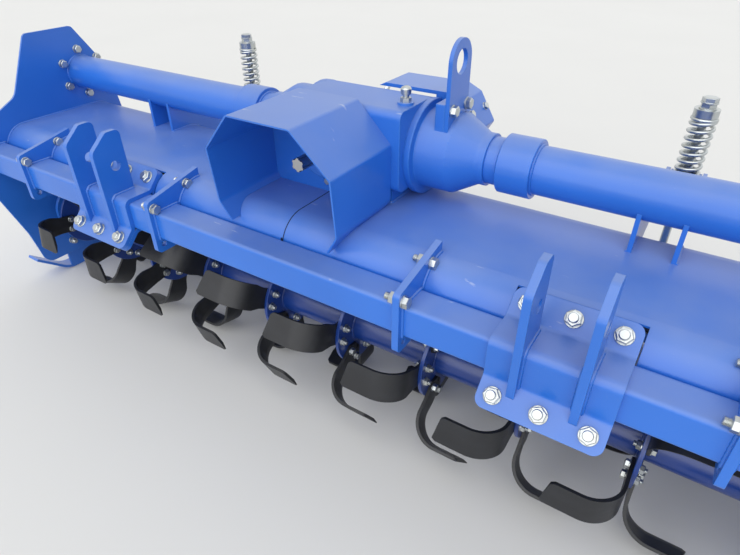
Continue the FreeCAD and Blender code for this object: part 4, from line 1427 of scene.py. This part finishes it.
@dataclass(frozen=True)
class Lamp:
    """A distant lamp, as wide as its spread in degrees."""

    name: str
    direction: Triple
    strength: float
    spread: float = 90.0

    def build(self) -> None:
        """Hang the lamp."""
        light = bpy.data.lights.new(self.name, "SUN")
        light.angle = math.radians(self.spread)
        light.energy = self.strength
        lamp = bpy.data.objects.new(self.name, light)
        bpy.context.collection.objects.link(lamp)
        lamp.rotation_mode = "QUATERNION"
        lamp.rotation_quaternion = Vector(self.direction).to_track_quat("-Z", "Y")


@dataclass
class Studio:
    """Floor, light and camera, with their places in metres."""

    floor_size: float = 60.0
    floor_z: float = -0.001
    floor_finish: DullTones = DullTones("pale_floor", (0.74, 0.74, 0.73), (0.70, 0.70, 0.69), 0.8, 0.85)
    lens: float = 26.8
    sensor: float = 36.0
    clip: Pair = (0.02, 80.0)
    place: Triple = (0.830, -1.214, 1.246)
    right: Triple = (0.8378, 0.5459, -0.0089)
    forward: Triple = (-0.4556, 0.6900, -0.5624)
    ambient: float = 0.62
    seen: float = 0.90
    air: Triple = (0.99, 1.0, 1.0)
    lamps: tuple[Lamp, ...] = (
        Lamp("key", (-0.22, 0.82, -0.60), 2.2),
        Lamp("fill", (0.7, 0.7, -0.4), 0.3),
        Lamp("rim", (-0.2, -0.9, -0.8), 0.45),
    )

    def build(self) -> None:
        """Set up floor, light and camera."""
        bpy.context.scene.view_settings.view_transform = "Standard"
        self.camera()
        self.floor()
        self.world()
        for lamp in self.lamps:
            lamp.build()

    def camera(self) -> None:
        """The photograph's view."""
        data = bpy.data.cameras.new("camera")
        data.lens = self.lens
        data.sensor_width = self.sensor
        data.clip_start, data.clip_end = self.clip
        camera = bpy.data.objects.new("camera", data)
        bpy.context.collection.objects.link(camera)
        back = -Vector(self.forward).normalized()
        right = Vector(self.right).normalized()
        turn = Matrix((right, back.cross(right).normalized(), back)).transposed().to_4x4()
        camera.matrix_world = Matrix.Translation(Vector(self.place)) @ turn
        bpy.context.scene.camera = camera

    def floor(self) -> None:
        """A wide pale floor."""
        clear_selection()
        bpy.ops.mesh.primitive_plane_add(size=self.floor_size, location=(0, 0, self.floor_z))
        floor = bpy.context.object
        floor.name = "floor"
        floor.data.materials.append(self.floor_finish.make())

    def world(self) -> None:
        """A pale surround, brighter to the camera, in gloss and through glass."""
        world = bpy.data.worlds.new("surround")
        sheet = NodeSheet(world)
        seen = sheet.add("LightPath", output="Is Camera Ray")
        for ray in ("Is Glossy Ray", "Is Transmission Ray"):
            seen = sheet.add("Math", {0: seen, 1: sheet.add("LightPath", output=ray)}, operation="MAXIMUM")
        level = sheet.add("MapRange", {"Value": seen, "To Min": self.ambient, "To Max": self.seen})
        sheet.close(sheet.add("Background", {"Color": self.air, "Strength": level}), "ShaderNodeOutputWorld")
        bpy.context.scene.world = world


def corners(bounds: tuple[Vector, Vector]) -> list[list[float]]:
    """Bounds as plain lists."""
    return [list(bounds[0]), list(bounds[1])]


def main() -> None:
    """Build the rotavator's looks in order."""
    logging.basicConfig(level=logging.INFO, format="%(message)s")
    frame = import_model()
    Studio().build()
    finishes = Finishes()
    finishes.cover_nodes(frame["nodes"])
    beam = FrontBeam(finishes)
    beam.build()
    HitchClamps(finishes, beam).build()
    for assembly in (Deck, Gearbox, Rotor, SideEnds, SpringRods, LevellingBoard):
        assembly(finishes).build()


if __name__ == "__main__":
    main()
